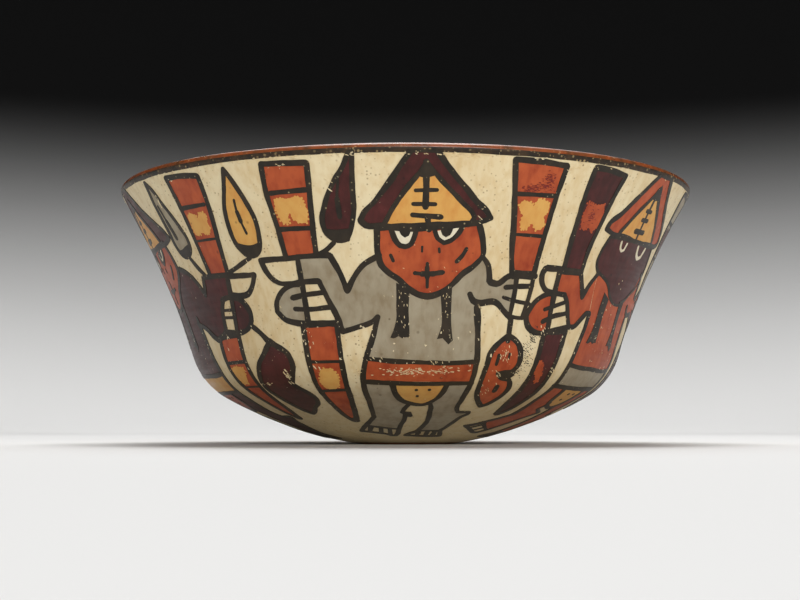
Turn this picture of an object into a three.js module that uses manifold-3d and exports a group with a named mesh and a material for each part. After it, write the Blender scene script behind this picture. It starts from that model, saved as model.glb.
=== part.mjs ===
// A painted pottery bowl: a fired clay body with a flaring wall and a round underside,
// lined with red slip, coated outside with cream slip, and painted with standing figures.
// Millimetres, +Z up. The origin is the middle of the flat spot that the bowl stands on,
// and azimuth 0 faces -Y and grows towards +X.
import * as THREE from 'three';
import { mergeVertices } from 'three/addons/utils/BufferGeometryUtils.js';
import Module from 'manifold-3d';

const wasm = await Module();
wasm.setup();

// The pot's outer surface, in millimetres, with the wall's lean at the shoulder in degrees
const rimRadius = 95;
const height = 84;
const footRadius = 15;
const undersideRadius = 120;
const shoulderRadius = 70.8;
const shoulderBend = 23;
const wallLean = 17;

// The clay wall thins from the floor to the lip, and thin coats of slip cover it.
const floorThickness = 5.4;
const lipThickness = 3.6;
const slipThickness = 0.4;
const paintThickness = 0.2;
const bareFootRadius = 19;
const rimLineDrop = 0.8;
const toeClearance = 10;

// Facets of the turned surfaces
const sides = 40;
const undersideSteps = 4;
const bendSteps = 4;
const wallSteps = 3;

const slips = {
  clay: { color: 0xb0703f, roughness: 0.85 },
  cream: { color: 0xe0cda0, roughness: 0.5 },
  red: { color: 0xb4512f, roughness: 0.5 },
  maroon: { color: 0x4a1f1f, roughness: 0.5 },
  yellow: { color: 0xdba54f, roughness: 0.5 },
  grey: { color: 0x8f8677, roughness: 0.5 },
  black: { color: 0x2a231e, roughness: 0.55 },
};

const sin = (degrees) => Math.sin(THREE.MathUtils.degToRad(degrees));
const cos = (degrees) => Math.cos(THREE.MathUtils.degToRad(degrees));
const asin = (ratio) => THREE.MathUtils.radToDeg(Math.asin(ratio));

// A profile point has a radius r, a height z and a heading, the way the profile runs there:
// 0 is straight out from the axis and 90 is straight up.
function arc(start, toHeading, radius, steps) {
  const points = [];
  for (let step = 1; step <= steps; step += 1) {
    const heading = THREE.MathUtils.lerp(start.heading, toHeading, step / steps);
    const r = start.r + radius * (sin(heading) - sin(start.heading));
    const z = start.z + radius * (cos(start.heading) - cos(heading));
    points.push({ r, z, heading });
  }
  return points;
}

// One arc that leaves the start along its heading and ends at a given place
function arcTo(start, end, shares) {
  const chord = Math.hypot(end.r - start.r, end.z - start.z);
  const chordHeading = THREE.MathUtils.radToDeg(Math.atan2(end.z - start.z, end.r - start.r));
  const halfTurn = chordHeading - start.heading;
  return shares(chord).map((share) => {
    const reach = chord * sin(halfTurn * share) / sin(halfTurn);
    const direction = start.heading + halfTurn * share;
    return {
      r: start.r + reach * cos(direction),
      z: start.z + reach * sin(direction),
      heading: start.heading + 2 * halfTurn * share,
    };
  });
}

// The flaring wall in even facets up to the black rim line's lower edge, then to the lip
function wallShares(chord) {
  const lineEdge = 1 - rimLineDrop / chord;
  const even = Array.from({ length: wallSteps }, (_, step) => lineEdge * (step + 1) / wallSteps);
  return [...even, 1];
}

// The lip's roundness and the wall's lean below it depend on each other, so they settle
// in a few rounds.
function wallUpFrom(shoulder) {
  const lipRadius = lipThickness / 2;
  const settlingRounds = 4;
  let wall = [shoulder];
  for (let round = 0; round < settlingRounds; round += 1) {
    const { heading } = wall.at(-1);
    const lipStart = {
      r: rimRadius - lipRadius * (1 - sin(heading)),
      z: height - lipRadius * (1 + cos(heading)),
    };
    wall = arcTo(shoulder, lipStart, wallShares);
  }
  return wall;
}

const wallHeading = 90 - wallLean;
const bendCentreRadius = shoulderRadius - shoulderBend * sin(wallHeading);
const bendHeading = asin(bendCentreRadius / (undersideRadius - shoulderBend));
const foot = { r: footRadius, z: 0, heading: asin(footRadius / undersideRadius) };
const [bareEdge] = arc(foot, asin(bareFootRadius / undersideRadius), undersideRadius, 1);
const underside = arc(bareEdge, bendHeading, undersideRadius, undersideSteps);
const bend = arc(underside.at(-1), wallHeading, shoulderBend, bendSteps);
const wall = wallUpFrom(bend.at(-1));
const lipBase = wall.at(-1);

// The lip turns over from the wall's heading to the same heading downwards inside.
const lipLow = arc(lipBase, 90, lipThickness / 2, 1);
const lipTop = arc(lipLow.at(-1), 180, lipThickness / 2, 3);
const lipInside = arc(lipTop.at(-1), lipBase.heading + 180, lipThickness / 2, 2);

const groundProfile = [bareEdge, ...underside, ...bend, ...wall.slice(0, -1)];
const rimLineProfile = [...wall.slice(-2), ...lipLow];
const lipProfile = [lipLow.at(-1), ...lipTop, ...lipInside];
const insideProfile = [...groundProfile.slice(0, -1).reverse(), foot];

// A profile point moved from the outer surface into the wall, square to the surface
const inward = (depth) => (point) => new THREE.Vector2(
  point.r - depth * sin(point.heading),
  point.z + depth * cos(point.heading),
);

// The inner surface, or a face that lies a given depth behind it
const insideAt = (depth) => (point) => {
  const rise = point.z / lipBase.z;
  return inward(THREE.MathUtils.lerp(floorThickness, lipThickness, rise) - depth)(point);
};

const onAxis = (point) => new THREE.Vector2(0, point.y);

function turned(profile) {
  const geometry = new THREE.LatheGeometry(profile, sides).rotateX(Math.PI / 2);
  geometry.deleteAttribute('normal');
  geometry.deleteAttribute('uv');
  return mergeVertices(geometry, 1e-4);
}

// A coat of slip between two faces of the same stretch of profile
function coat(profile, innerFace, outerFace) {
  const outside = profile.map(outerFace);
  return turned([...outside, ...profile.map(innerFace).reverse(), outside[0]]);
}

function clayBody() {
  const bareFoot = [onAxis(inward(0)(foot)), inward(0)(foot), inward(0)(bareEdge)];
  const slipped = [...groundProfile, ...rimLineProfile.slice(1), ...lipProfile.slice(1)];
  const inside = insideProfile.map(insideAt(slipThickness));
  return turned([...bareFoot, ...slipped.map(inward(slipThickness)), ...inside, onAxis(inside.at(-1))]);
}

function redLining() {
  const face = [...lipProfile.map(inward(0)), ...insideProfile.map(insideAt(0))];
  const back = [...lipProfile.map(inward(slipThickness)), ...insideProfile.map(insideAt(slipThickness))];
  return turned([onAxis(back.at(-1)), ...back.reverse(), ...face, onAxis(face.at(-1))]);
}

// Painting. A place on the wall has an azimuth in degrees and a distance down the wall from
// the lip in millimetres. Outlines are drawn for a figure of one height, which is stretched
// or shortened to the wall that there is.
const drawnHeight = 109.5;
const downWall = groundProfile.map(inward(0)).reverse();
const stretches = downWall.slice(1).map((point, index) => point.distanceTo(downWall[index]));
const groundLength = stretches.reduce((sum, stretch) => sum + stretch, rimLineDrop);
const drawnScale = (groundLength - toeClearance) / drawnHeight;

function wallPoint(azimuth, drawnDown) {
  let left = drawnDown * drawnScale - rimLineDrop;
  let index = 0;
  while (index < stretches.length - 1 && left > stretches[index]) {
    left -= stretches[index];
    index += 1;
  }
  const place = downWall[index].clone().lerp(downWall[index + 1], left / stretches[index]);
  return new THREE.Vector3(place.x * sin(azimuth), -place.x * cos(azimuth), place.y);
}

const toManifold = (geometry) => new wasm.Manifold(new wasm.Mesh({
  numProp: 3,
  vertProperties: geometry.attributes.position.array,
  triVerts: new Uint32Array(geometry.index.array),
}));

function fromManifold(solid) {
  const mesh = solid.getMesh();
  const geometry = new THREE.BufferGeometry();
  geometry.setAttribute('position', new THREE.BufferAttribute(mesh.vertProperties, 3));
  geometry.setIndex(new THREE.BufferAttribute(mesh.triVerts, 1));
  return geometry;
}

// A cone of sight from the middle of the bowl through an outline on its wall
const eye = new THREE.Vector3(0, 0, height * 0.6);
const pastTheWall = 1.6;

function stencil(outline) {
  const flat = outline.map(([azimuth, down]) => new THREE.Vector2(azimuth, -down));
  if (THREE.ShapeUtils.isClockWise(flat)) {
    flat.reverse();
  }
  const rays = flat.map(({ x, y }) => wallPoint(x, -y).sub(eye).multiplyScalar(pastTheWall).add(eye));
  const faces = THREE.ShapeUtils.triangulateShape(flat, []);
  rays.forEach((_, index) => faces.push([(index + 1) % rays.length, index, rays.length]));
  const geometry = new THREE.BufferGeometry().setFromPoints([...rays, eye]);
  geometry.setIndex(faces.flat());
  return toManifold(geometry);
}

const paintSkin = toManifold(coat(groundProfile, inward(0), inward(-paintThickness)));

const bowl = new THREE.Group();

function addPiece(name, geometry, slip) {
  const material = new THREE.MeshStandardMaterial({ ...slips[slip], metalness: 0 });
  const piece = new THREE.Mesh(geometry, material);
  piece.name = name;
  bowl.add(piece);
}

// Slip laid on the ground inside an outline
function paint(name, slip, outline) {
  addPiece(name, fromManifold(paintSkin.intersect(stencil(outline))), slip);
}

// The outlines of one figure, as [azimuth from its middle, distance down]
const hat = [[-3.6, 1.3], [-13.6, 20.4], [-12.6, 22.4], [0, 23.3], [10.8, 21.4], [13.3, 19.3],
  [10.6, 15], [1.8, 1.3]];
const face = [[-10.4, 23.3], [-10.4, 31.5], [-6.8, 37.5], [-4.3, 40], [-1.4, 43.1], [0.7, 43.8],
  [2.8, 42.9], [5.7, 40.4], [10.7, 34.2], [12.3, 30.8], [11.9, 26.7], [10.6, 22.2], [0, 24]];
const belt = [[-14.2, 62.4], [-15.2, 70.4], [13.9, 70.8], [13.4, 63.3]];
const apron = [[-8.3, 71.4], [-7.3, 77], [-5.8, 80.5], [-3, 82.4], [-0.5, 83.3], [1.5, 83.3],
  [3.5, 82], [5.5, 79.5], [6.7, 76.5], [7.8, 71.8]];
const leftLeg = [[-15.4, 71.2], [-8.9, 71.9], [-7.9, 77.3], [-6.4, 81], [-3.8, 83], [-4.2, 87],
  [-1.6, 87.6], [-1.3, 90.3], [-4.5, 95], [-6.5, 102], [-8.5, 106], [-10, 108.6], [-17, 106],
  [-28, 103.4], [-20.2, 95.3], [-16.3, 90.3], [-16, 80]];
const rightLeg = [[8.5, 71.9], [13.8, 71.6], [13.9, 80], [14.4, 86], [18.9, 86.6], [19.5, 88.4],
  [16.6, 97], [15.2, 103], [16.9, 109.3], [6, 109.5], [-5.9, 108.4], [-2.5, 105.5], [1, 104],
  [3.4, 96], [3.2, 90], [1.8, 84.1], [4.1, 82.5], [6.1, 80], [7.3, 76.8]];

// The tunic runs round the chin, down one arm, along the hem and up the other arm.
const chin = [[12.5, 31.8], [11, 34.9], [6, 41.1], [3, 43.7], [0.7, 44.6], [-1.7, 43.9],
  [-4.6, 40.8], [-7.1, 38.3], [-10.7, 32.2]];
const hem = [[-13.1, 57], [-13.9, 61.6], [12.9, 62.5], [12.7, 55]];
const shoulder = 11;

// Arms on the left of the figure, from shoulder to armpit: one bent like a V, and a short
// straight one for a narrow space. Each has its staff, drawn with the hand that grips it.
const bentArm = [[-12.7, 31.7], [-14.8, 37.5], [-16, 40.5], [-17, 37.5], [-18.1, 32.1],
  [-19, 30.2], [-22.2, 30.2], [-19.5, 51.4], [-18.3, 54.3], [-11.2, 51.9]];
const staffInFist = [[-30.8, 1.9], [-21, 2.7], [-22.2, 20], [-22.8, 30], [-20.1, 51.6],
  [-19.2, 60], [-19.3, 72], [-20.3, 82], [-22.3, 91], [-23.8, 95], [-25.7, 95.2], [-27.2, 92],
  [-28.5, 84], [-29.2, 74], [-29.1, 51.5], [-34, 48.5], [-34.9, 46], [-34, 42.5], [-31, 39.5],
  [-34, 38], [-35.8, 35.5], [-36.3, 31], [-30.2, 30.8], [-30.4, 15], [-31.1, 8]];
const shortArm = [[-13.5, 34], [-14, 37.5], [-14.8, 38.8], [-16.5, 38.5], [-18.6, 36.4],
  [-19.6, 36.4], [-19.8, 48.6], [-17, 46.5], [-15.8, 45.3], [-12.2, 45.8]];
const staffInFingers = [[-14.4, 1.4], [-25.8, 1.9], [-24.9, 25], [-24.7, 35.6], [-25.2, 40],
  [-24.6, 49], [-20.4, 49.3], [-20.2, 36], [-18.9, 35.2], [-17.5, 24], [-15.3, 12]];

// A feather that stands between hat and staff, and a pouch with two lobes, from the place
// where it hangs
const feather = [[-17.6, 1.5], [-19.2, 5], [-20.7, 13], [-21.3, 20], [-20.8, 25], [-19.5, 28],
  [-17.6, 29], [-15.6, 28], [-14.2, 25], [-13.9, 20], [-14.9, 12], [-16.1, 5]];
const pouch = [[0, 0], [-2.3, 2.5], [-4.3, 6], [-5, 11], [-5.3, 18], [-4.5, 23], [-2.8, 27],
  [-0.8, 30], [0.7, 31.5], [2.7, 30], [4.7, 27], [5.7, 23], [5.5, 18], [3.9, 14.8], [5.2, 12],
  [5.3, 7], [4.2, 3.5], [2.2, 1.3]];
const pouchDrop = 53.5;

const moved = (outline, azimuth, down = 0) => outline.map(([x, y]) => [x + azimuth, y + down]);
const mirrored = (outline) => outline.map(([x, y]) => [-x, y]).reverse();
const widened = (outline, factor) => outline.map(([x, y]) => [x * factor, y]);

// An arm and its staff reach out from the shoulder by a factor of their own.
const bentLimb = (reach) => {
  const reaching = ([x, y]) => [-shoulder + (x + shoulder) * reach, y];
  return { arm: bentArm.map(reaching), staff: staffInFist.map(reaching) };
};
const shortLimb = { arm: shortArm, staff: staffInFingers };

// Figures stand round the wall, each in its own slips, with the azimuths of its feathers and
// its pouch measured from its middle. One of them has a second feather outside its staff.
const featherNames = ['feather', 'outer_feather'];
const figures = [
  {
    azimuth: 4, left: bentLimb(1), right: shortLimb, pouchAt: 20.3, pouchWidth: 1,
    hat: 'maroon', face: 'red', tunic: 'grey', belt: 'red', apron: 'yellow', leg: 'grey',
    leftStaff: 'red', rightStaff: 'red', feathers: [['maroon', 0]], pouch: 'red',
  },
  {
    azimuth: 58, left: bentLimb(0.72), right: shortLimb, pouchAt: 20.3, pouchWidth: 1,
    hat: 'red', face: 'maroon', tunic: 'red', belt: 'grey', apron: 'yellow', leg: 'red',
    leftStaff: 'maroon', rightStaff: 'grey', feathers: [['yellow', 50]], pouch: 'maroon',
  },
  {
    azimuth: 134, left: bentLimb(0.9), right: bentLimb(1), pouchAt: 39, pouchWidth: 1.3,
    hat: 'grey', face: 'red', tunic: 'maroon', belt: 'yellow', apron: 'red', leg: 'maroon',
    leftStaff: 'red', rightStaff: 'maroon', feathers: [['grey', 35.2]], pouch: 'red',
  },
  {
    azimuth: 210, left: bentLimb(0.9), right: bentLimb(1), pouchAt: 39, pouchWidth: 1.3,
    hat: 'maroon', face: 'yellow', tunic: 'red', belt: 'grey', apron: 'yellow', leg: 'grey',
    leftStaff: 'maroon', rightStaff: 'red', feathers: [['maroon', 35.2]], pouch: 'maroon',
  },
  {
    azimuth: 286, left: bentLimb(0.9), right: bentLimb(1.08), pouchAt: 39.4, pouchWidth: 1.4,
    hat: 'maroon', face: 'red', tunic: 'maroon', belt: 'yellow', apron: 'red', leg: 'maroon',
    leftStaff: 'red', rightStaff: 'red', feathers: [['grey', 36.6], ['yellow', 57.4]], pouch: 'maroon',
  },
];

addPiece('clay_body', clayBody(), 'clay');
addPiece('cream_ground', coat(groundProfile, inward(slipThickness), inward(0)), 'cream');
addPiece('black_rim_line', coat(rimLineProfile, inward(slipThickness), inward(0)), 'black');
addPiece('red_lining', redLining(), 'red');

figures.forEach((figure, index) => {
  const number = index + 1;
  const here = (outline) => moved(outline, figure.azimuth);
  const { left, right } = figure;
  paint(`hat_${number}`, figure.hat, here(hat));
  paint(`face_${number}`, figure.face, here(face));
  paint(`tunic_${number}`, figure.tunic, here([...chin, ...left.arm, ...hem, ...mirrored(right.arm)]));
  paint(`belt_${number}`, figure.belt, here(belt));
  paint(`apron_${number}`, figure.apron, here(apron));
  paint(`left_leg_${number}`, figure.leg, here(leftLeg));
  paint(`right_leg_${number}`, figure.leg, here(rightLeg));
  paint(`left_staff_${number}`, figure.leftStaff, here(left.staff));
  paint(`right_staff_${number}`, figure.rightStaff, here(mirrored(right.staff)));
  figure.feathers.forEach(([slip, azimuth], place) => {
    paint(`${featherNames[place]}_${number}`, slip, here(moved(feather, azimuth)));
  });
  const hanging = moved(widened(pouch, figure.pouchWidth), figure.pouchAt, pouchDrop);
  paint(`pouch_${number}`, figure.pouch, here(hanging));
});

export default bowl;
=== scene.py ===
# A painted pottery bowl: smooth turned clay and slip coats, and the slip painting on its wall,
# drawn stroke by stroke. Sizes are in millimetres until a mesh is made, which is in metres.
# Azimuth 0 faces -Y and grows towards +X. Paint is placed by azimuth in degrees and by the
# distance in millimetres down the wall from the lip.
import math
import random

import bpy
from mathutils import Color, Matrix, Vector, noise
from mathutils.geometry import delaunay_2d_cdt, interpolate_bezier


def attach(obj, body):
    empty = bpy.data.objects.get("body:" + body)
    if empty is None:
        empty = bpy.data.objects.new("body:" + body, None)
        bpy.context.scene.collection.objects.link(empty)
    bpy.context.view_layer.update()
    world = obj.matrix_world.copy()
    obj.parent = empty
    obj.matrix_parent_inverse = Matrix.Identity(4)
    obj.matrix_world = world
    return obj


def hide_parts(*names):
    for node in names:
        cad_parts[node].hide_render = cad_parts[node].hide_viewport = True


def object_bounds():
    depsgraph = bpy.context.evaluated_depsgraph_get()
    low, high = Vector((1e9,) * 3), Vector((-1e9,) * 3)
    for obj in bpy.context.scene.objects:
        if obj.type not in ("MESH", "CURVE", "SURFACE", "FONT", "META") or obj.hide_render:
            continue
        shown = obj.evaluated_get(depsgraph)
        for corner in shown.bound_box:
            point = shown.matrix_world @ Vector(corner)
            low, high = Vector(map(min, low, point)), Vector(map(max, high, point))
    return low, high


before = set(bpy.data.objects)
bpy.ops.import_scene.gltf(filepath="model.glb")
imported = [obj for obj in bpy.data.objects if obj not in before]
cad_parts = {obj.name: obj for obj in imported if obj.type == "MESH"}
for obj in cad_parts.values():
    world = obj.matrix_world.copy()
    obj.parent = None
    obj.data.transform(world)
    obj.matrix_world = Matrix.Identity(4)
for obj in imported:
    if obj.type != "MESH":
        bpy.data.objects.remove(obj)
cad_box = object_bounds()

MM = 0.001
RIM_RADIUS = cad_box[1][0] / MM
HEIGHT = cad_box[1][2] / MM
FOOT_RADIUS = 15.0
UNDERSIDE_RADIUS = 120.0
SHOULDER_RADIUS = 70.8
SHOULDER_BEND = 23.0
WALL_LEAN = 17.0
FLOOR_THICKNESS = 5.4
LIP_THICKNESS = 3.6
SLIP_THICKNESS = 0.4
BARE_FOOT_RADIUS = 19.0
RIM_LINE_DROP = 0.8

# How far each coat of paint stands out from the cream ground, and its root in the ground
WASH = 0.08
OVERPAINT = 0.13
STAIN = 0.15
LINE = 0.18
CHIP = 0.21
PAINT_ROOT = 0.05

# What hand building takes off the true round: a mean depth, and slow waves and quicker ripples
# over it, each with its depth and its length
UNEVEN_DEPTH = 0.4
WAVE_DEPTH = 0.17
WAVE_LENGTH = 55
RIPPLE_DEPTH = 0.04
RIPPLE_LENGTH = 16
MEAN_RADIUS = 70
UPRIGHT_STRETCH = 1.4
TRUE_BELOW = 6

SHARP_EDGE = 50


def sind(degrees):
    return math.sin(math.radians(degrees))


def cosd(degrees):
    return math.cos(math.radians(degrees))


# The profile of the pot

class Arc:
    """A stretch of profile that starts at radius r and height z and turns from its heading."""

    def __init__(self, r, z, heading, turn, radius):
        self.r = r
        self.z = z
        self.heading = heading
        self.turn = turn
        self.radius = radius
        self.length = abs(math.radians(turn) * radius)

    def at(self, share):
        heading = self.heading + self.turn * share
        r = self.r + self.radius * (sind(heading) - sind(self.heading))
        z = self.z + self.radius * (cosd(self.heading) - cosd(heading))
        return r, z, heading

    def then(self, to_heading, radius):
        r, z, heading = self.at(1)
        return Arc(r, z, heading, to_heading - heading, radius)

    def places(self, step, start=0.0, end=1.0):
        """Places at most a step apart along the arc, from one share of it to another."""
        count = max(1, math.ceil(self.length * (end - start) / step))
        return [self.at(start + (end - start) * index / count) for index in range(count + 1)]


def outer_arcs():
    """The underside, the bend at the shoulder and the flaring wall, from the foot upwards. The
    lip's roundness and the wall's lean below it depend on each other and settle in a few rounds."""
    wall_heading = 90 - WALL_LEAN
    bend_centre = SHOULDER_RADIUS - SHOULDER_BEND * sind(wall_heading)
    foot_heading = math.degrees(math.asin(FOOT_RADIUS / UNDERSIDE_RADIUS))
    bend_heading = math.degrees(math.asin(bend_centre / (UNDERSIDE_RADIUS - SHOULDER_BEND)))
    underside = Arc(FOOT_RADIUS, 0, foot_heading, bend_heading - foot_heading, UNDERSIDE_RADIUS)
    bend = underside.then(wall_heading, SHOULDER_BEND)
    shoulder_r, shoulder_z, _ = bend.at(1)
    lip_radius = LIP_THICKNESS / 2
    lip_heading = wall_heading
    for _ in range(4):
        run = RIM_RADIUS - lip_radius * (1 - sind(lip_heading)) - shoulder_r
        rise = HEIGHT - lip_radius * (1 + cosd(lip_heading)) - shoulder_z
        turn = 2 * (math.degrees(math.atan2(rise, run)) - wall_heading)
        lip_heading = wall_heading + turn
    wall_radius = math.hypot(run, rise) / (2 * sind(turn / 2))
    return underside, bend, Arc(shoulder_r, shoulder_z, wall_heading, turn, wall_radius)


UNDERSIDE, BEND, WALL = outer_arcs()
LIP = WALL.then(WALL.at(1)[2] + 180, LIP_THICKNESS / 2)
LIP_BASE_Z = WALL.at(1)[1]
BARE_HEADING = math.degrees(math.asin(BARE_FOOT_RADIUS / UNDERSIDE_RADIUS))
BARE_SHARE = (BARE_HEADING - UNDERSIDE.heading) / UNDERSIDE.turn
WIDEST_SHARE = (90 - LIP.heading) / LIP.turn
RIM_LINE_SHARE = 1 - RIM_LINE_DROP / WALL.length


def down_the_wall(down):
    """Radius, height and heading of the outside at a distance down from the lip."""
    for arc in (WALL, BEND):
        if down <= arc.length:
            return arc.at(1 - down / arc.length)
        down -= arc.length
    return UNDERSIDE.at(1 - down / UNDERSIDE.length)


def unevenness(azimuth, z):
    """How far hand building left the surface short of a true round. It fades at the foot, so
    that the bowl still stands flat."""
    around = Vector((MEAN_RADIUS * sind(azimuth), MEAN_RADIUS * cosd(azimuth), z * UPRIGHT_STRETCH))
    waves = WAVE_DEPTH * noise.noise(around / WAVE_LENGTH)
    ripples = RIPPLE_DEPTH * noise.noise(around / RIPPLE_LENGTH)
    return (UNEVEN_DEPTH + waves + ripples) * min(1, z / TRUE_BELOW)


def point_on_pot(azimuth, place, proud):
    """A point in metres, proud of a place on the profile."""
    r, z, heading = place
    outward = proud - unevenness(azimuth, z)
    r += outward * sind(heading)
    z -= outward * cosd(heading)
    return Vector((r * sind(azimuth), -r * cosd(azimuth), z)) * MM


def new_piece(name, vertices, faces, finish, *replaced):
    """A piece of the bowl in one finish, and the solids that it stands for"""
    mesh = bpy.data.meshes.new(name)
    mesh.from_pydata(vertices, [], faces)
    mesh.shade_smooth()
    mesh.set_sharp_from_angle(angle=math.radians(SHARP_EDGE))
    mesh.materials.append(MATERIALS[finish])
    piece = bpy.data.objects.new(name, mesh)
    bpy.context.collection.objects.link(piece)
    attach(piece, "root")
    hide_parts(*replaced)


# Materials. Shared effects are node groups, which work in metres on the piece's own place.

def linear(red, green, blue):
    """An 8-bit sRGB colour as shaders take it"""
    colour = Color((red / 255, green / 255, blue / 255)).from_srgb_to_scene_linear()
    return (*colour, 1)


def feed(tree, sockets, inputs):
    """Gives sockets their inputs, which are numbers, colours or other nodes' outputs."""
    for key, value in inputs.items():
        if isinstance(value, bpy.types.NodeSocket):
            tree.links.new(value, sockets[key])
        else:
            sockets[key].default_value = value


def add_node(tree, kind, inputs, **settings):
    node = tree.nodes.new(kind)
    for setting, value in settings.items():
        setattr(node, setting, value)
    feed(tree, node.inputs, inputs)
    return node


def object_place(tree):
    return tree.nodes.new("ShaderNodeTexCoord").outputs["Object"]


def noise_value(tree, feature, detail, stretch=(1, 1, 1), shift=0.0):
    """Noise from 0 to 1 with features of a size in metres, a number or another output"""
    place = add_node(tree, "ShaderNodeVectorMath", {0: object_place(tree), 1: stretch},
                     operation="MULTIPLY")
    moved = add_node(tree, "ShaderNodeVectorMath", {0: place.outputs[0], 1: (shift, shift, shift)},
                     operation="ADD")
    scale = calculated(tree, "DIVIDE", 1.0, feature)
    inputs = {"Vector": moved.outputs[0], "Scale": scale, "Detail": detail}
    return add_node(tree, "ShaderNodeTexNoise", inputs).outputs["Fac"]


def ramp(tree, value, low, high, to_low=0.0, to_high=1.0):
    """A value carried from one range to another, and held at its ends"""
    inputs = {"Value": value, "From Min": low, "From Max": high, "To Min": to_low, "To Max": to_high}
    return add_node(tree, "ShaderNodeMapRange", inputs).outputs["Result"]


def calculated(tree, operation, *values):
    return add_node(tree, "ShaderNodeMath", dict(enumerate(values)), operation=operation).outputs[0]


def mixed(tree, share, first, second):
    """The first colour, or by a share from 0 to 1 the second"""
    node = tree.nodes.new("ShaderNodeMix")
    node.data_type = "RGBA"
    colour_sockets = {socket.name: socket for socket in node.inputs if socket.enabled}
    feed(tree, colour_sockets, {"Factor": share, "A": first, "B": second})
    return next(socket for socket in node.outputs if socket.enabled)


def new_group(name, inputs, outputs):
    """A node group with named inputs, as (name, kind, default), and outputs, as (name, kind)"""
    group = bpy.data.node_groups.new(name, "ShaderNodeTree")
    for socket_name, kind, default in inputs:
        socket = group.interface.new_socket(socket_name, in_out="INPUT",
                                            socket_type=f"NodeSocket{kind}")
        socket.default_value = default
    for socket_name, kind in outputs:
        group.interface.new_socket(socket_name, in_out="OUTPUT", socket_type=f"NodeSocket{kind}")
    entry = group.nodes.new("NodeGroupInput")
    return group, entry.outputs, group.nodes.new("NodeGroupOutput").inputs


BLACK = (0, 0, 0, 1)
GREY_VALUE = (0.5, 0.5, 0.5, 1)


def make_mottle_group():
    """A slip colour that drifts towards a second one in soft patches and in brush streaks"""
    group, given, result = new_group(
        "slip_mottle",
        [("Colour", "Color", GREY_VALUE), ("Second colour", "Color", BLACK), ("Size", "Float", 0.01),
         ("Amount", "Float", 0.5)],
        [("Colour", "Color")],
    )
    broad = ramp(group, noise_value(group, given["Size"], 4), 0.38, 0.72)
    streaks = noise_value(group, 0.002, 4, stretch=(1, 1, 0.3), shift=0.3)
    both = calculated(group, "ADD", broad, ramp(group, streaks, 0.42, 0.72))
    share = add_node(group, "ShaderNodeMath", {0: both, 1: given["Amount"]}, operation="MULTIPLY",
                     use_clamp=True)
    colour = mixed(group, share.outputs[0], given["Colour"], given["Second colour"])
    group.links.new(colour, result["Colour"])
    return group


def make_speck_group():
    """Mineral grains that show as small dots of another colour"""
    group, given, result = new_group(
        "mineral_specks",
        [("Colour", "Color", GREY_VALUE), ("Speck colour", "Color", BLACK), ("Spacing", "Float", 0.004),
         ("Radius share", "Float", 0.2), ("Strength", "Float", 0.7)],
        [("Colour", "Color")],
    )
    scale = calculated(group, "DIVIDE", 1.0, given["Spacing"])
    cells = add_node(group, "ShaderNodeTexVoronoi", {"Vector": object_place(group), "Scale": scale})
    chance = add_node(group, "ShaderNodeSeparateColor", {0: cells.outputs["Color"]}).outputs["Red"]
    radius = calculated(group, "MULTIPLY", chance, given["Radius share"])
    inner = calculated(group, "MULTIPLY", radius, 0.5)
    dot = ramp(group, cells.outputs["Distance"], radius, inner)
    patchy = ramp(group, noise_value(group, 0.018, 2, shift=0.7), 0.35, 0.65, 0.25, 1)
    patchy_dots = calculated(group, "MULTIPLY", dot, patchy)
    share = calculated(group, "MULTIPLY", patchy_dots, given["Strength"])
    group.links.new(mixed(group, share, given["Colour"], given["Speck colour"]), result["Colour"])
    return group


def make_rubbed_group():
    """Paint rubbed thin, so that the ground shows in flecks, most of all at the shoulder"""
    group, given, result = new_group(
        "rubbed_through",
        [("Paint", "Color", BLACK), ("Ground", "Color", GREY_VALUE), ("Size", "Float", 0.001),
         ("Wear", "Float", 0.3)],
        [("Colour", "Color")],
    )
    height = add_node(group, "ShaderNodeSeparateXYZ", {0: object_place(group)}).outputs["Z"]
    rising = ramp(group, height, 0.014, 0.026)
    falling = ramp(group, height, 0.046, 0.032)
    shoulder = calculated(group, "MULTIPLY", rising, falling)
    elsewhere = ramp(group, noise_value(group, 0.022, 3, shift=1.7), 0.5, 0.72, 0, 0.7)
    spread = calculated(group, "MAXIMUM", elsewhere, shoulder)
    reach = calculated(group, "MULTIPLY", spread, given["Wear"])
    flecks = noise_value(group, given["Size"], 5, stretch=(1, 1, 0.6), shift=2.3)
    level = calculated(group, "SUBTRACT", 0.76, calculated(group, "MULTIPLY", reach, 0.15))
    edge = calculated(group, "ADD", level, 0.03)
    worn = ramp(group, flecks, level, edge)
    group.links.new(mixed(group, worn, given["Paint"], given["Ground"]), result["Colour"])
    return group


def make_burnish_group():
    """The heights left by a polishing pebble, in short strokes round the pot, with pits and dents
    between them. The sheen goes from 0 to 1 across the strokes."""
    group, given, result = new_group(
        "burnish_strokes",
        [("Stroke size", "Float", 0.012), ("Pit depth", "Float", 0.25)],
        [("Height", "Float"), ("Sheen", "Float")],
    )
    strokes = noise_value(group, given["Stroke size"], 3, stretch=(1, 1, 9))
    pits = noise_value(group, 0.0016, 2, shift=0.9)
    dents = noise_value(group, 0.02, 1, shift=3.1)
    half_strokes = calculated(group, "MULTIPLY", strokes, 0.5)
    shallow_pits = calculated(group, "MULTIPLY", pits, given["Pit depth"])
    rough = calculated(group, "ADD", half_strokes, shallow_pits)
    group.links.new(calculated(group, "ADD", rough, dents), result["Height"])
    group.links.new(ramp(group, strokes, 0.3, 0.7), result["Sheen"])
    return group


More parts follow.
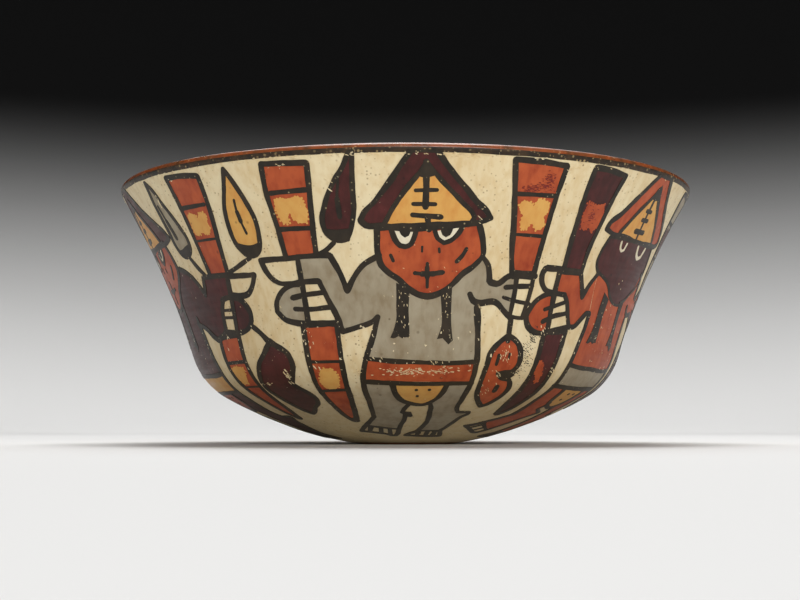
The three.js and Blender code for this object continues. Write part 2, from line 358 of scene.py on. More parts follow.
def make_foot_shade_group():
    """A browner, darker colour towards the foot: partly the stain that a pot takes on from standing and
    handling, partly painted shade on its underside
    """
    group, given, result = new_group(
        "foot_stain_and_shade",
        [("Colour", "Color", GREY_VALUE), ("Foot colour", "Color", BLACK), ("Amount", "Float", 0.5)],
        [("Colour", "Color")],
    )
    height = add_node(group, "ShaderNodeSeparateXYZ", {0: object_place(group)}).outputs["Z"]
    drift = ramp(group, noise_value(group, 0.03, 3, shift=0.2), 0.3, 0.7, -0.008, 0.008)
    # Handling stain and painted shade together, strongest at the foot and gone a few centimetres up
    low = ramp(group, calculated(group, "ADD", height, drift), 0.032, 0.004)
    share = calculated(group, "MULTIPLY", low, given["Amount"])
    group.links.new(mixed(group, share, given["Colour"], given["Foot colour"]), result["Colour"])
    return group


GROUPS = {
    "mottle": make_mottle_group(),
    "specks": make_speck_group(),
    "rubbed": make_rubbed_group(),
    "burnish": make_burnish_group(),
    "foot": make_foot_shade_group(),
}


def use_group(tree, name, inputs):
    return add_node(tree, "ShaderNodeGroup", inputs, node_tree=GROUPS[name]).outputs


CREAM = linear(222, 206, 168)
# The colour towards the foot: partly handling stain, partly painted shade of the underside
FOOT_STAIN_AND_SHADE_COLOUR = linear(172, 146, 88)
BURNISH = {"Stroke size": 0.012, "Pit depth": 0.25}
BURNISH_DEPTH = 0.0003
BURNISH_STRENGTH = 0.35


def slip_material(name, colour, second_colour, speck_colour, mottle_size=0.011, mottle=0.45,
                  speck_spacing=0.0035, speck_size=0.2, wear=0.5, stain_and_shade_at_foot=0.05, roughness=0.43,
                  specular=0.2):
    """A burnished slip: mottled, specked, rubbed through to the ground, and browner and darker at the
    foot, partly from handling and partly as painted shade.
    The sizes are in metres, and the speck size is a share of the spacing."""
    material = bpy.data.materials.new(name)
    material.use_nodes = True
    tree = material.node_tree
    shader = tree.nodes["Principled BSDF"]
    body = use_group(tree, "mottle", {
        "Colour": colour, "Second colour": second_colour, "Size": mottle_size, "Amount": mottle,
    })
    specked = use_group(tree, "specks", {
        "Colour": body["Colour"], "Speck colour": speck_colour, "Spacing": speck_spacing,
        "Radius share": speck_size,
    })
    rubbed = use_group(tree, "rubbed", {"Paint": specked["Colour"], "Ground": CREAM, "Wear": wear})
    # Browner and darker towards the foot: handling stain and painted shade
    foot = use_group(tree, "foot", {
        "Colour": rubbed["Colour"], "Foot colour": FOOT_STAIN_AND_SHADE_COLOUR, "Amount": stain_and_shade_at_foot,
    })
    burnish = use_group(tree, "burnish", BURNISH)
    tree.links.new(foot["Colour"], shader.inputs["Base Color"])
    shader.inputs["Specular IOR Level"].default_value = specular
    sheen = ramp(tree, burnish["Sheen"], 0, 1, roughness - 0.05, roughness + 0.07)
    tree.links.new(sheen, shader.inputs["Roughness"])
    bump = add_node(tree, "ShaderNodeBump", {
        "Height": burnish["Height"], "Strength": BURNISH_STRENGTH, "Distance": BURNISH_DEPTH,
    })
    tree.links.new(bump.outputs["Normal"], shader.inputs["Normal"])
    return material


FINISHES = {
    "clay": dict(
        colour=linear(164, 106, 66), second_colour=linear(128, 78, 48),
        speck_colour=linear(90, 58, 40), wear=0, roughness=0.75,
    ),
    # The cream darkens most towards the foot, partly handling stain and partly painted shade
    "cream_slip": dict(
        colour=CREAM, second_colour=linear(196, 164, 110), speck_colour=linear(112, 78, 44),
        mottle_size=0.03, mottle=0.4, speck_spacing=0.0012, speck_size=0.34, wear=0, stain_and_shade_at_foot=0.35,
    ),
    "white_slip": dict(
        colour=linear(218, 209, 184), second_colour=linear(200, 186, 152),
        speck_colour=linear(150, 130, 96),
    ),
    "red_slip": dict(
        colour=linear(176, 84, 46), second_colour=linear(138, 52, 28),
        speck_colour=linear(96, 44, 28), mottle_size=0.008, mottle=0.55,
    ),
    "stained_slip": dict(
        colour=linear(118, 42, 34), second_colour=linear(92, 34, 30),
        speck_colour=linear(60, 28, 24),
    ),
    "maroon_slip": dict(
        colour=linear(58, 28, 25), second_colour=linear(86, 38, 36),
        speck_colour=linear(30, 20, 20), mottle=0.5,
    ),
    "yellow_slip": dict(
        colour=linear(208, 160, 86), second_colour=linear(194, 128, 60),
        speck_colour=linear(124, 80, 38),
    ),
    "grey_slip": dict(
        colour=linear(158, 147, 124), second_colour=linear(122, 104, 76),
        speck_colour=linear(86, 70, 48), mottle_size=0.009,
    ),
    "black_slip": dict(
        colour=linear(36, 32, 26), second_colour=linear(60, 50, 38),
        speck_colour=linear(176, 158, 120), speck_spacing=0.0015, speck_size=0.24, wear=0.8,
        roughness=0.42,
    ),
    "worn_black_slip": dict(
        colour=linear(36, 31, 25), second_colour=linear(84, 62, 40),
        speck_colour=linear(190, 164, 116), mottle_size=0.004, mottle=0.4, speck_spacing=0.0011,
        speck_size=0.5, wear=1, roughness=0.42,
    ),
    "lip_slip": dict(
        colour=linear(148, 76, 40), second_colour=linear(90, 56, 32),
        speck_colour=linear(200, 160, 110), mottle_size=0.006, mottle=0.65, speck_spacing=0.0014,
        speck_size=0.35, wear=0.6, roughness=0.27, specular=0.7,
    ),
}
MATERIALS = {name: slip_material(name, **finish) for name, finish in FINISHES.items()}


# The turned pieces. A profile is a list of (place, proud), and a place at radius 0 is a pole.

SIDES = 256
SEEN_STEP = 1.5
HIDDEN_STEP = 4.0
LIP_STEP = 0.4


def turned_piece(name, finish, profile, closed):
    """A profile turned round the bowl's axis. A closed one comes back to its first place."""
    vertices = []
    rings = []
    for place, proud in profile:
        turns = SIDES if place[0] > 0 else 1
        rings.append([len(vertices) + step % turns for step in range(SIDES)])
        vertices += [point_on_pot(360 * step / SIDES, place, proud) for step in range(turns)]
    if closed:
        rings.append(rings[0])
    faces = []
    for ring, following in zip(rings, rings[1:]):
        for step in range(SIDES):
            beside = (step + 1) % SIDES
            corners = (ring[step], ring[beside], following[beside], following[step])
            faces.append(list(dict.fromkeys(corners)))
    new_piece(name, vertices, faces, finish, name)


def painted_places(step):
    """Places up the outside, from the bare foot to the black rim line."""
    places = UNDERSIDE.places(step, BARE_SHARE) + BEND.places(step)[1:]
    return places + WALL.places(step, 0, RIM_LINE_SHARE)[1:]


def rim_line_places(step):
    return WALL.places(step, RIM_LINE_SHARE) + LIP.places(step, 0, WIDEST_SHARE)[1:]


def at_depth(places, proud):
    return [(place, proud) for place in places]


def inside_face(step, behind):
    """The inner surface from below the lip to the middle of the floor, or a face behind it."""
    places = UNDERSIDE.places(step) + BEND.places(step)[1:] + WALL.places(step)[1:-1]
    face = []
    for place in reversed(places):
        thickness = FLOOR_THICKNESS + (LIP_THICKNESS - FLOOR_THICKNESS) * place[1] / LIP_BASE_Z
        face.append((place, behind - thickness))
    return face + [((0, 0, 0), behind - FLOOR_THICKNESS)]


def make_clay_body():
    foot = [((0, 0, 0), 0), (UNDERSIDE.at(0), 0), (UNDERSIDE.at(BARE_SHARE), 0)]
    slipped = painted_places(HIDDEN_STEP) + rim_line_places(LIP_STEP)[1:]
    slipped += LIP.places(LIP_STEP, WIDEST_SHARE)[1:]
    inside = inside_face(HIDDEN_STEP, SLIP_THICKNESS)
    turned_piece("clay_body", "clay", foot + at_depth(slipped, -SLIP_THICKNESS) + inside, False)


def make_slip_band(name, finish, face, back):
    """A coat between places on its face and the same stretch, perhaps in longer steps, behind"""
    profile = at_depth(face, 0) + at_depth(reversed(back), -SLIP_THICKNESS)
    turned_piece(name, finish, profile, True)


def make_red_lining():
    lip = LIP.places(LIP_STEP, WIDEST_SHARE)
    back = at_depth(lip, -SLIP_THICKNESS) + inside_face(HIDDEN_STEP, SLIP_THICKNESS)
    profile = list(reversed(back)) + at_depth(lip, 0) + inside_face(SEEN_STEP, 0)
    turned_piece("red_lining", "lip_slip", profile, False)


# Drawing. Points are (azimuth, down) and are joined by smooth curves, which break where the
# points turn a corner.

LINE_WIDTH = 1.7
STROKE_STEP = 1.0
END_RADIUS = 0.48
ROUND_CORNERS = 10
CORNER = 48
GRID_STEP = 1.8
JOINED_WITHIN = 0.00001

# How a hand shakes: a slow drift with its length, and half as much again at a quicker pace
SHAKE = 0.15
SHAKE_LENGTH = 9.0
QUICKER = 3.1
MIDDLE_OF_WALL = 60
SHAKE_SEED = 9

# Without a seed, the vector noise in a stroke's shake would start from the clock
noise.seed_set(SHAKE_SEED)

# How a stroke's width wavers, as a share of it: a slow swell and a quicker fray, with lengths
SWELL = 0.25
SWELL_LENGTH = 7
FRAY = 0.16
FRAY_LENGTH = 1.9

# The scallops of a dabbed edge, which are shaken more and in quicker turns than a line
SCALLOP_RADIUS = 0.35
SCALLOP_SHAKE = 0.7
SCALLOP_SHAKE_LENGTH = 1.7

# The outline of a chip of lost paint
CHIP_CORNERS = 8
CHIP_LONGER_THAN_WIDE = 3.5
CHIP_RAGGEDNESS = 0.8


def mm_per_degree(down):
    return math.radians(1) * down_the_wall(max(0, down))[0]


def span(start, end):
    """From one place to another, in millimetres across and down."""
    across = (end[0] - start[0]) * mm_per_degree((start[1] + end[1]) / 2)
    return Vector((across, end[1] - start[1]))


def is_corner(before, place, after):
    return math.degrees(span(before, place).angle(span(place, after))) > CORNER


def runs_between_corners(points, closed):
    """The stretches of an outline that have no corner in them. A closed one comes back to its
    first point."""
    if closed:
        around = zip(points[-1:] + points[:-1], points, points[1:] + points[:1])
        corners = [index for index, turn in enumerate(around) if is_corner(*turn)]
        start = corners[0] if corners else 0
        points = points[start:] + points[:start] + [points[start]]
    runs = [[points[0]]]
    for before, place, after in zip(points, points[1:], points[2:]):
        runs[-1].append(place)
        if is_corner(before, place, after):
            runs.append([place])
    runs[-1].append(points[-1])
    return runs


def curve_through(run):
    """Places about a step apart on a smooth curve through a run of points."""
    points = [Vector(point) for point in run]
    gaps = [span(*pair).length for pair in zip(points, points[1:])]
    slopes = [(end - start) / gap for start, end, gap in zip(points, points[1:], gaps)]
    tangents = [slopes[0]]
    for before, after, gap_before, gap_after in zip(slopes, slopes[1:], gaps, gaps[1:]):
        tangents.append((before * gap_after + after * gap_before) / (gap_before + gap_after))
    tangents.append(slopes[-1])
    places = [points[0]]
    for index, gap in enumerate(gaps):
        start, end = points[index:index + 2]
        leaving = start + tangents[index] * gap / 3
        arriving = end - tangents[index + 1] * gap / 3
        count = max(2, round(gap / STROKE_STEP) + 1)
        places += interpolate_bezier(start, leaving, arriving, end, count)[1:]
    return places


def shaken(place, amount=SHAKE, length=SHAKE_LENGTH):
    """A place moved a little, the same way for every stroke that passes there, as by a hand."""
    where = Vector((place[0] * mm_per_degree(MIDDLE_OF_WALL), place[1], 0)) / length
    slow = noise.noise_vector(where) * amount
    quick = noise.noise_vector(where * QUICKER) * amount / 2
    across, down, _ = slow + quick
    return offset(place, across, down)


def offset(place, across, down):
    """A place moved by millimetres across and down the wall."""
    return Vector((place[0] + across / mm_per_degree(place[1]), place[1] + down))


def rounded(place, radius):
    angles = [360 * corner / ROUND_CORNERS for corner in range(ROUND_CORNERS)]
    return [offset(place, radius * cosd(angle), radius * sind(angle)) for angle in angles]


def brush_patches(run, width):
    """Patches that cover a brush stroke along a run, with a round one at each end."""
    curve = [shaken(place) for place in curve_through(run)]
    sides = []
    for index, place in enumerate(curve):
        along = span(curve[max(0, index - 1)], curve[min(index + 1, len(curve) - 1)]).normalized()
        where = Vector((place[0], place[1], 9 * width))
        swell = SWELL * noise.noise(where / SWELL_LENGTH)
        fray = FRAY * noise.noise(where / FRAY_LENGTH)
        reach = width / 2 * (1 + swell + fray)
        sides.append((
            offset(place, -along.y * reach, along.x * reach),
            offset(place, along.y * reach, -along.x * reach),
        ))
    patches = [rounded(curve[0], width * END_RADIUS), rounded(curve[-1], width * END_RADIUS)]
    for place, (left, right), (next_left, next_right) in zip(curve, sides, sides[1:]):
        patch = [left, right, next_right, next_left]
        patches.append(patch if is_convex(patch) else rounded(place, width / 2))
    return patches


def turn_area(patch):
    """Twice the patch's area, negative where it is walked clockwise as seen on the wall."""
    return sum(a[1] * b[0] - a[0] * b[1] for a, b in zip(patch, (*patch[1:], patch[0])))


def is_convex(patch):
    corners = zip(patch, patch[1:] + patch[:1], patch[2:] + patch[:2])
    turns = [turn_area(corner) for corner in corners]
    return min(turns) > 0 or max(turns) < 0


def box_around(places):
    low = Vector((min(place.x for place in places), min(place.y for place in places)))
    high = Vector((max(place.x for place in places), max(place.y for place in places)))
    return low, high


def within(box, place):
    low, high = box
    return low.x < place.x < high.x and low.y < place.y < high.y


def grid_lines(values):
    """The numbers of the grid lines from the lowest value up to the highest"""
    return range(math.floor(min(values) / GRID_STEP), math.ceil(max(values) / GRID_STEP))


class Coat:
    """The paint of one slip in one place: overlapping patches that join into one piece."""

    def __init__(self, proud):
        self.proud = proud
        self.patches = []
        self.replaced = set()

    def stroke(self, points, width=LINE_WIDTH, closed=False):
        for run in runs_between_corners(points, closed):
            self.patches += brush_patches(run, width)

    def fill(self, outline):
        runs = runs_between_corners(outline, True)
        self.patches.append([shaken(place) for run in runs for place in curve_through(run)[:-1]])

    def dab(self, outline):
        """A fill with the scalloped edge that dabs of a brush leave"""
        runs = runs_between_corners(outline, True)
        places = [place for run in runs for place in curve_through(run)[:-1]]
        self.patches.append(places)
        for place in places:
            middle = shaken(place, SCALLOP_SHAKE, SCALLOP_SHAKE_LENGTH)
            self.patches.append(rounded(middle, SCALLOP_RADIUS))

    def dot(self, place, radius):
        self.patches.append(rounded(place, radius))

    def chip(self, place, length, slope):
        """A torn edge of lost paint, longer along its slope, which is in degrees from level"""
        outline = []
        for corner in range(CHIP_CORNERS):
            angle = 360 * corner / CHIP_CORNERS
            torn = CHIP_RAGGEDNESS * noise.noise(Vector((place[0], place[1], 3.1 * corner)))
            reach = length / 2 * (1 + torn)
            along = reach * cosd(angle)
            aside = reach * sind(angle) / CHIP_LONGER_THAN_WIDE
            across = along * cosd(slope) - aside * sind(slope)
            down = along * sind(slope) + aside * cosd(slope)
            outline.append(offset(place, across, down))
        self.patches.append(outline)

    def triangles(self):
        """The places and triangles of the joined patches, with a grid inside to keep to the
        roundness of the wall."""
        places = []
        faces = []
        for patch in self.patches:
            if turn_area(patch) < 0:
                patch.reverse()
            faces.append(list(range(len(places), len(places) + len(patch))))
            places += [(azimuth, -down) for azimuth, down in patch]
        columns, rows = (grid_lines(values) for values in zip(*places))
        places += [(column * GRID_STEP, row * GRID_STEP) for column in columns for row in rows]
        corners = [Vector(place) for place in places]
        points, _, cut, _, _, origins = delaunay_2d_cdt(corners, [], faces, 0, JOINED_WITHIN)
        boxes = [box_around([corners[index] for index in face]) for face in faces]
        kept = []
        for face, claims in zip(cut, origins):
            centre = sum((points[corner] for corner in face), Vector((0, 0))) / len(face)
            if any(within(boxes[claim], centre) for claim in claims):
                kept.append(face)
        return points, kept

    def make(self, name, finish):
        """A piece with the coat's front, its back in the ground and walls between the two"""
        points, faces = self.triangles()
        used = sorted({corner for face in faces for corner in face})
        renumbered = {corner: index for index, corner in enumerate(used)}
        top = [[renumbered[corner] for corner in face] for face in faces]
        vertices = []
        for proud in (self.proud, -PAINT_ROOT):
            for corner in used:
                azimuth, height = points[corner]
                vertices.append(point_on_pot(azimuth, down_the_wall(max(0, -height)), proud))
        below = len(used)
        bottom = [[corner + below for corner in reversed(face)] for face in top]
        edges = {edge for face in top for edge in zip(face, face[1:] + face[:1])}
        rim = [(start, end) for start, end in edges if (end, start) not in edges]
        walls = [[end, start, start + below, end + below] for start, end in rim]
        new_piece(name, vertices, top + bottom + walls, finish, *sorted(self.replaced))


# The outlines of one figure, from its middle and down from the lip. Left is towards smaller
# azimuths.

HAT = [
    (-3, 0), (-5, 4.6), (-6.7, 8.8), (-8.7, 12.9), (-10, 15.4), (-12, 18.3), (-12.8, 20.8),
    (-11.8, 22.2), (-8.9, 22.4), (-4.3, 23.2), (0.3, 23.1), (3.6, 22.6), (6.1, 22), (8.6, 21.4),
    (10.7, 20.6), (12.3, 19.5), (11.2, 17.3), (9.2, 15), (7.2, 11.7), (5.1, 8.3), (3, 4.4), (1, 0),
]
HAT_PANEL = [
    (-0.6, 4.5), (-1.8, 7), (-3.8, 11), (-5.6, 15), (-7, 18.5), (-8.3, 22.3), (-3.9, 23), (0, 23),
    (8.3, 21.5), (9, 19.5), (8.4, 18), (6.4, 15.2), (4.7, 12.7), (2.4, 9.2), (0.6, 6),
]
HAT_PANEL_EDGES = [
    [(-0.6, 4), (-1.8, 7), (-3.8, 11), (-5.6, 15), (-7, 18.5), (-8.3, 22.2)],
    [(-0.4, 4), (0.6, 6), (2.4, 9.2), (4.7, 12.7), (6.4, 15.2), (8.4, 18), (9, 19.5), (8.3, 21.5)],
]
HAT_APEX = [(-0.5, 3), (-1.4, 5.4), (-2.3, 7.8), (-0.5, 8.3), (1, 7.6), (0.3, 5.2)]
FACE = [
    (-9.7, 23), (-9.7, 31), (-9.2, 33.8), (-7.9, 35.9), (-5.7, 38), (-3.6, 40.8), (-1, 42.8),
    (0.7, 43.2), (2.5, 42.6), (5.4, 40), (7.6, 36.6), (10.3, 33.5), (11.7, 30.8), (11.4, 26.7),
    (10, 21.2),
]
LEFT_EYE = [
    (-6.9, 23.5), (-6.2, 26.4), (-5.2, 28.2), (-4.2, 28.5), (-3.1, 27.8), (-2.5, 26), (-2.1, 23.8),
]
LEFT_PUPIL = [(-5.5, 23.2), (-5, 25.1), (-4.3, 25.9), (-3.5, 25.3), (-3.1, 23.2)]
RIGHT_EYE = [(1.6, 24), (2.2, 26), (3.5, 27.3), (4.8, 26.6), (6.3, 24.4), (6.9, 22.5)]
RIGHT_PUPIL = [(2.6, 23), (3.1, 25), (3.8, 25.6), (4.6, 25), (5.1, 22.8)]
LEFT_LOCK = [
    (-6.1, 39.2), (-6.2, 45), (-6.3, 50), (-6.9, 53), (-7.7, 55.3), (-7, 55.6), (-5.8, 54.9),
    (-4.9, 55.6), (-4, 55.2), (-3.3, 55.3), (-3.3, 52), (-3.5, 46), (-3.2, 41.2),
]
RIGHT_LOCK = [
    (3.3, 41.2), (3.8, 47), (4, 52), (3.1, 55.8), (4.4, 55.5), (5.9, 57.3), (6.9, 56), (6.4, 53),
    (6, 48), (5.8, 40.2),
]
TUNIC = [
    (-9.7, 31), (-9.2, 33.8), (-7.9, 35.9), (-5.7, 38), (-3.6, 40.8), (-1, 42.8), (0.7, 43.2),
    (2.5, 42.6), (5.4, 40), (7.6, 36.6), (10.3, 33.5), (11.7, 31), (12.6, 33), (12.3, 49),
    (12.6, 52), (13.2, 60), (13.2, 62.8), (-13.6, 61.8), (-13.2, 60), (-12.2, 57), (-11, 52.5),
    (-10.4, 49.2), (-11.4, 33),
]
LEFT_SIDE = [
    (-10.4, 49.2), (-11, 52.5), (-12.2, 57), (-13.2, 60), (-14, 63), (-14.8, 67), (-15.2, 71),
    (-15.4, 75), (-15.4, 80), (-15.6, 86), (-16, 91),
]
RIGHT_SIDE = [(11.9, 46), (12.6, 52), (13.2, 60), (13.3, 66), (13.2, 71), (13, 78)]
BELT = [(-13.8, 62.2), (12.8, 63.2), (13.4, 70), (-14.9, 69.9)]
BELT_EDGES = [
    [(-13.8, 61.6), (-8, 62.5), (0, 62.9), (8, 63.1), (12.4, 62.7)],
    [(-15, 69.9), (-9, 70.5), (-1, 70.9), (13.3, 70.6)],
]
APRON = [
    (-7.6, 71), (-6.7, 76.8), (-5.2, 79.9), (-2.8, 81.6), (-0.5, 82.4), (1.4, 82.4), (3.1, 81.3),
    (4.9, 79.1), (6, 76.3), (7, 71),
]
APRON_DOTS = [(-1.2, 73.8), (2.4, 73.7), (-0.8, 77.2)]
LEFT_LEG = [
    (-15.4, 71), (-15.4, 80), (-15.6, 88), (-16, 91), (-19.5, 95.5), (-23, 99), (-19, 98.6),
    (-13, 100.5), (-7, 101.5), (-6.3, 98), (-4.8, 94), (-4.2, 90), (-1.9, 90.2), (-2.2, 88.2),
    (-4.6, 87.8), (-5.3, 87.6), (-4.5, 85), (-3.4, 82.8), (-5.2, 79.9), (-6.7, 76.8), (-7.6, 71),
]
LEFT_LEG_LINES = [
    [(-16, 91), (-19.5, 95.5), (-23, 99), (-27.4, 103.5), (-21, 104.8), (-16.5, 106),
     (-12.5, 108.3), (-10, 108.2), (-8.5, 106), (-7.3, 102), (-6.3, 98), (-4.8, 94), (-4.2, 90)],
    [(-3.4, 82.8), (-4.5, 85), (-5.3, 87.6)],
]
LEFT_HEEL = [(-5.6, 87), (-2.2, 87.4), (-1.6, 90.3), (-2.4, 91), (-4.8, 90.4)]
LEFT_TOES = [[(-20.5, 99.8), (-23, 104)], [(-16, 101), (-17.5, 105.5)], [(-12, 102), (-13, 107.5)]]
LEFT_ANKLE = [(-21, 98.6), (-17, 99.5), (-12, 100.7), (-7, 101.5)]
RIGHT_LEG = [
    (7, 71), (13.3, 71), (13.2, 78), (13.6, 86), (14.6, 87.5), (18.6, 87.6), (18.9, 88.6),
    (17.3, 91), (16.2, 95), (15, 100), (14.2, 103.4), (8, 103.2), (2.4, 103.6), (4.3, 97),
    (4.7, 92), (4.4, 88), (4.2, 84), (3.1, 81.3), (4.9, 79.1), (6, 76.3),
]
RIGHT_LEG_LINES = [
    [(13, 78), (13.6, 86), (14.6, 87.5), (18.6, 87.6), (18.9, 88.6), (17.3, 91), (16.2, 95),
     (15, 100), (14, 103), (15.5, 106), (17, 109), (9, 109.2), (2, 108.7), (-4, 108), (-2, 106),
     (1.5, 104), (3, 101), (4.3, 97), (4.7, 92), (4.4, 88), (4.2, 84), (3.6, 81.8)],
]
RIGHT_TOES = [[(3, 105), (2.5, 108)], [(7.5, 104), (8, 108.5)], [(11.5, 104), (12.3, 108.7)]]
RIGHT_ANKLE = [(3, 103.3), (8, 103), (13.5, 103.2)]

# Arms with their staffs. The hand has a hooked thumb, a palm beyond the staff and the lines of
# the fingers across it. The staff is gripped in the middle, and it has a mark of another slip in
# each half. The arm's edges are the stretches of its outline that get a black line. The first arm
# is long, the second is its fellow on the right and the third is bent and holds a plain club.
LEFT_LIMB = dict(
    arm=[
        (-9.5, 31), (-13, 34), (-15.3, 38), (-16.8, 41.5), (-18, 36), (-19.8, 30.6), (-27, 30.8),
        (-27, 38.3), (-23, 38.2), (-21.2, 44.5), (-19.2, 51), (-18.7, 53.5), (-15.2, 52.3),
        (-11.4, 50.4), (-10.4, 49.2),
    ],
    arm_edges=[slice(8), slice(7, None)],
    thumb=[(-27, 31), (-36, 31.2), (-35.5, 33.5), (-34, 37), (-32.5, 38.3), (-30, 38.7), (-27, 38.3)],
    palm=[
        (-27, 39), (-30, 39.3), (-32.4, 41), (-34.2, 44), (-34.5, 46.8), (-32.8, 49.4), (-30, 50.5),
        (-27, 50.8),
    ],
    staff_top=[
        (-30.1, 2.4), (-21.5, 3.2), (-21.9, 12), (-22.4, 22), (-22.7, 30.6), (-29.6, 31), (-30, 22),
        (-30.6, 10),
    ],
    top_mark=[
        (-29.4, 13.3), (-28, 13), (-26.5, 13.4), (-25, 12.8), (-23.6, 13.4), (-23.3, 15.5),
        (-23, 17.5), (-23.4, 20.8), (-25.2, 20.6), (-26.2, 19.2), (-26.6, 17.5), (-27.1, 18.3),
        (-27.2, 20.6), (-28.5, 20.7), (-29.2, 18.5),
    ],
    staff_foot=[
        (-28.5, 51.2), (-28.4, 62), (-28.5, 74), (-27.8, 84), (-26.6, 91.5), (-25.4, 94),
        (-24.1, 94.2), (-22.9, 90.8), (-21.1, 82), (-20, 72), (-19.8, 60), (-20, 51.2),
    ],
    foot_mark=[
        (-25.9, 65.3), (-23.5, 64.9), (-21.9, 66.2), (-21.6, 69), (-22.6, 72.3), (-24.3, 73.3),
        (-26.3, 72.7), (-27, 70), (-26.4, 67.5),
    ],
    tip=[(-27.4, 90), (-26.2, 91.4), (-24.8, 91.8), (-22.9, 90), (-23.8, 94.5), (-25.6, 95)],
    lines=[
        (1.9, [(-27, 31), (-27, 50.8)]),
        (1.5, [(-30, 42.9), (-26.8, 42.2), (-22.3, 41.7)]),
        (1.5, [(-29.7, 46.3), (-26.8, 46.6), (-21.2, 46.2)]),
        (1.7, [(-30, 50.6), (-24, 50.9), (-19.2, 51)]),
        (1.5, [(-29.8, 11.4), (-22, 11)]), (1.3, [(-29.8, 22.3), (-22.3, 22.4)]),
        (1, [(-28.4, 62.5), (-20, 62.5)]), (1.2, [(-28, 74.1), (-20.4, 73.6)]),
    ],
)
RIGHT_LIMB = dict(
    arm=[
        (11.7, 31), (13, 30.5), (17, 33), (19.5, 36.5), (21, 40), (21.8, 37.5), (22.5, 34.6),
        (31.5, 34.5), (31.5, 41.2), (27.6, 42), (26.2, 45), (25.2, 52), (21.2, 54.6), (19.2, 53.3),
        (17, 51), (12.3, 48.4),
    ],
    arm_edges=[slice(1, 8), slice(8, None)],
    thumb=[(31.5, 35), (39.4, 35.4), (38, 38.8), (36.2, 41), (34, 41.4), (31.5, 41)],
    palm=[
        (30.2, 41.6), (32.5, 42), (34.5, 44), (35.5, 47), (35, 50), (33.5, 51.6), (31, 52.6),
        (29.4, 52.8),
    ],
    staff_top=[
        (23.9, 2.4), (28.5, 2.7), (33.1, 3.6), (32.7, 14), (32, 25), (31.7, 34.5), (25.7, 34.5),
        (24.9, 24), (24.3, 12),
    ],
    top_mark=[
        (25.4, 15.5), (26.4, 14.2), (27.7, 15), (28.4, 16.3), (29.3, 14.8), (30.6, 14.7), (31.1, 16),
        (30.8, 18), (31.1, 20), (30.1, 21.6), (28.8, 21.3), (28, 20.6), (26.8, 21.6), (25.7, 21.2),
        (25.5, 19),
    ],
    staff_foot=[
        (21.6, 53.8), (21.6, 60), (21.7, 66), (22.4, 72), (23.4, 80), (24.7, 88), (26.2, 92),
        (27.2, 92), (28.5, 88), (29.4, 78), (29.7, 66), (29.6, 53.2),
    ],
    foot_mark=[
        (22.6, 63.8), (26, 63.4), (27.6, 64), (27, 67), (25.6, 69.7), (23.8, 70.3), (22.7, 68),
    ],
    lines=[
        (1.8, [(31.3, 35), (30.6, 41), (29.4, 52.5)]),
        (1, [(26.5, 45.4), (29.3, 45.5)]),
        (1, [(26, 47.6), (29.1, 47.8)]),
        (1.5, [(27, 42.3), (30, 41.6)]),
        (1.6, [(25.2, 52), (29.5, 52.6)]),
        (1.4, [(24.5, 12.5), (31.7, 12.4)]), (0.9, [(25, 23.2), (31.6, 23.2)]),
        (1.2, [(21.8, 62), (29.2, 61.8)]), (0.7, [(22.2, 71.5), (29, 71.3)]),
    ],
)
CLUB_LIMB = dict(
    arm=[
        (-11.2, 34.2), (-12.8, 37.5), (-14.1, 41.5), (-15.5, 37.5), (-16.8, 34.3), (-22.8, 34.3),
        (-22.8, 41), (-20, 41.2), (-18.7, 43.5), (-17.5, 47), (-16.1, 51), (-14.5, 50.8),
        (-12.5, 48.5), (-11, 46.3), (-9.7, 46.3),
    ],
    arm_edges=[slice(6), slice(6, None)],
    thumb=[(-23, 33.6), (-27, 33.4), (-27.6, 35), (-27.4, 37.5), (-26, 40), (-23, 41)],
    palm=[
        (-23, 41.3), (-24.6, 41.3), (-27, 42.8), (-28.7, 45.5), (-29.5, 48.5), (-28.6, 51.3),
        (-26.5, 53), (-23, 53.2),
    ],
    staff_top=[
        (-22.3, 1.9), (-18, 2.3), (-14.1, 3.1), (-14.9, 10), (-15.8, 20), (-16.6, 27), (-16.7, 33.8),
        (-22.2, 33.8), (-22.3, 20), (-22.5, 10),
    ],
    top_mark=[
        (-21, 12.5), (-19, 13.2), (-16.8, 12.4), (-16.2, 15), (-16.1, 18.5), (-16.8, 20),
        (-17.7, 21.8), (-18.7, 20.2), (-20, 21.2), (-21, 20.3), (-21.4, 17),
    ],
    staff_foot=[
        (-23.5, 52.8), (-23.9, 62), (-24.3, 75), (-24, 84), (-23, 88.5), (-21.8, 88.8), (-20, 86),
        (-18.4, 80), (-18, 72), (-17.5, 62), (-16.7, 52.3),
    ],
    foot_mark=[
        (-23.2, 61.5), (-21.7, 62.5), (-20.8, 66), (-20.4, 69.5), (-21.2, 69.8), (-22.4, 67.3),
        (-23.3, 64.7),
    ],
    lines=[
        (1.9, [(-23.1, 34), (-23.1, 42), (-22.7, 52.8)]),
        (1.3, [(-24.8, 46), (-23, 45.2), (-19.4, 43.6)]),
        (1.5, [(-24.7, 49.7), (-22.5, 48.3), (-18.2, 46.9)]),
        (1.7, [(-23.5, 53), (-21, 52.4), (-16.5, 51)]),
    ],
)

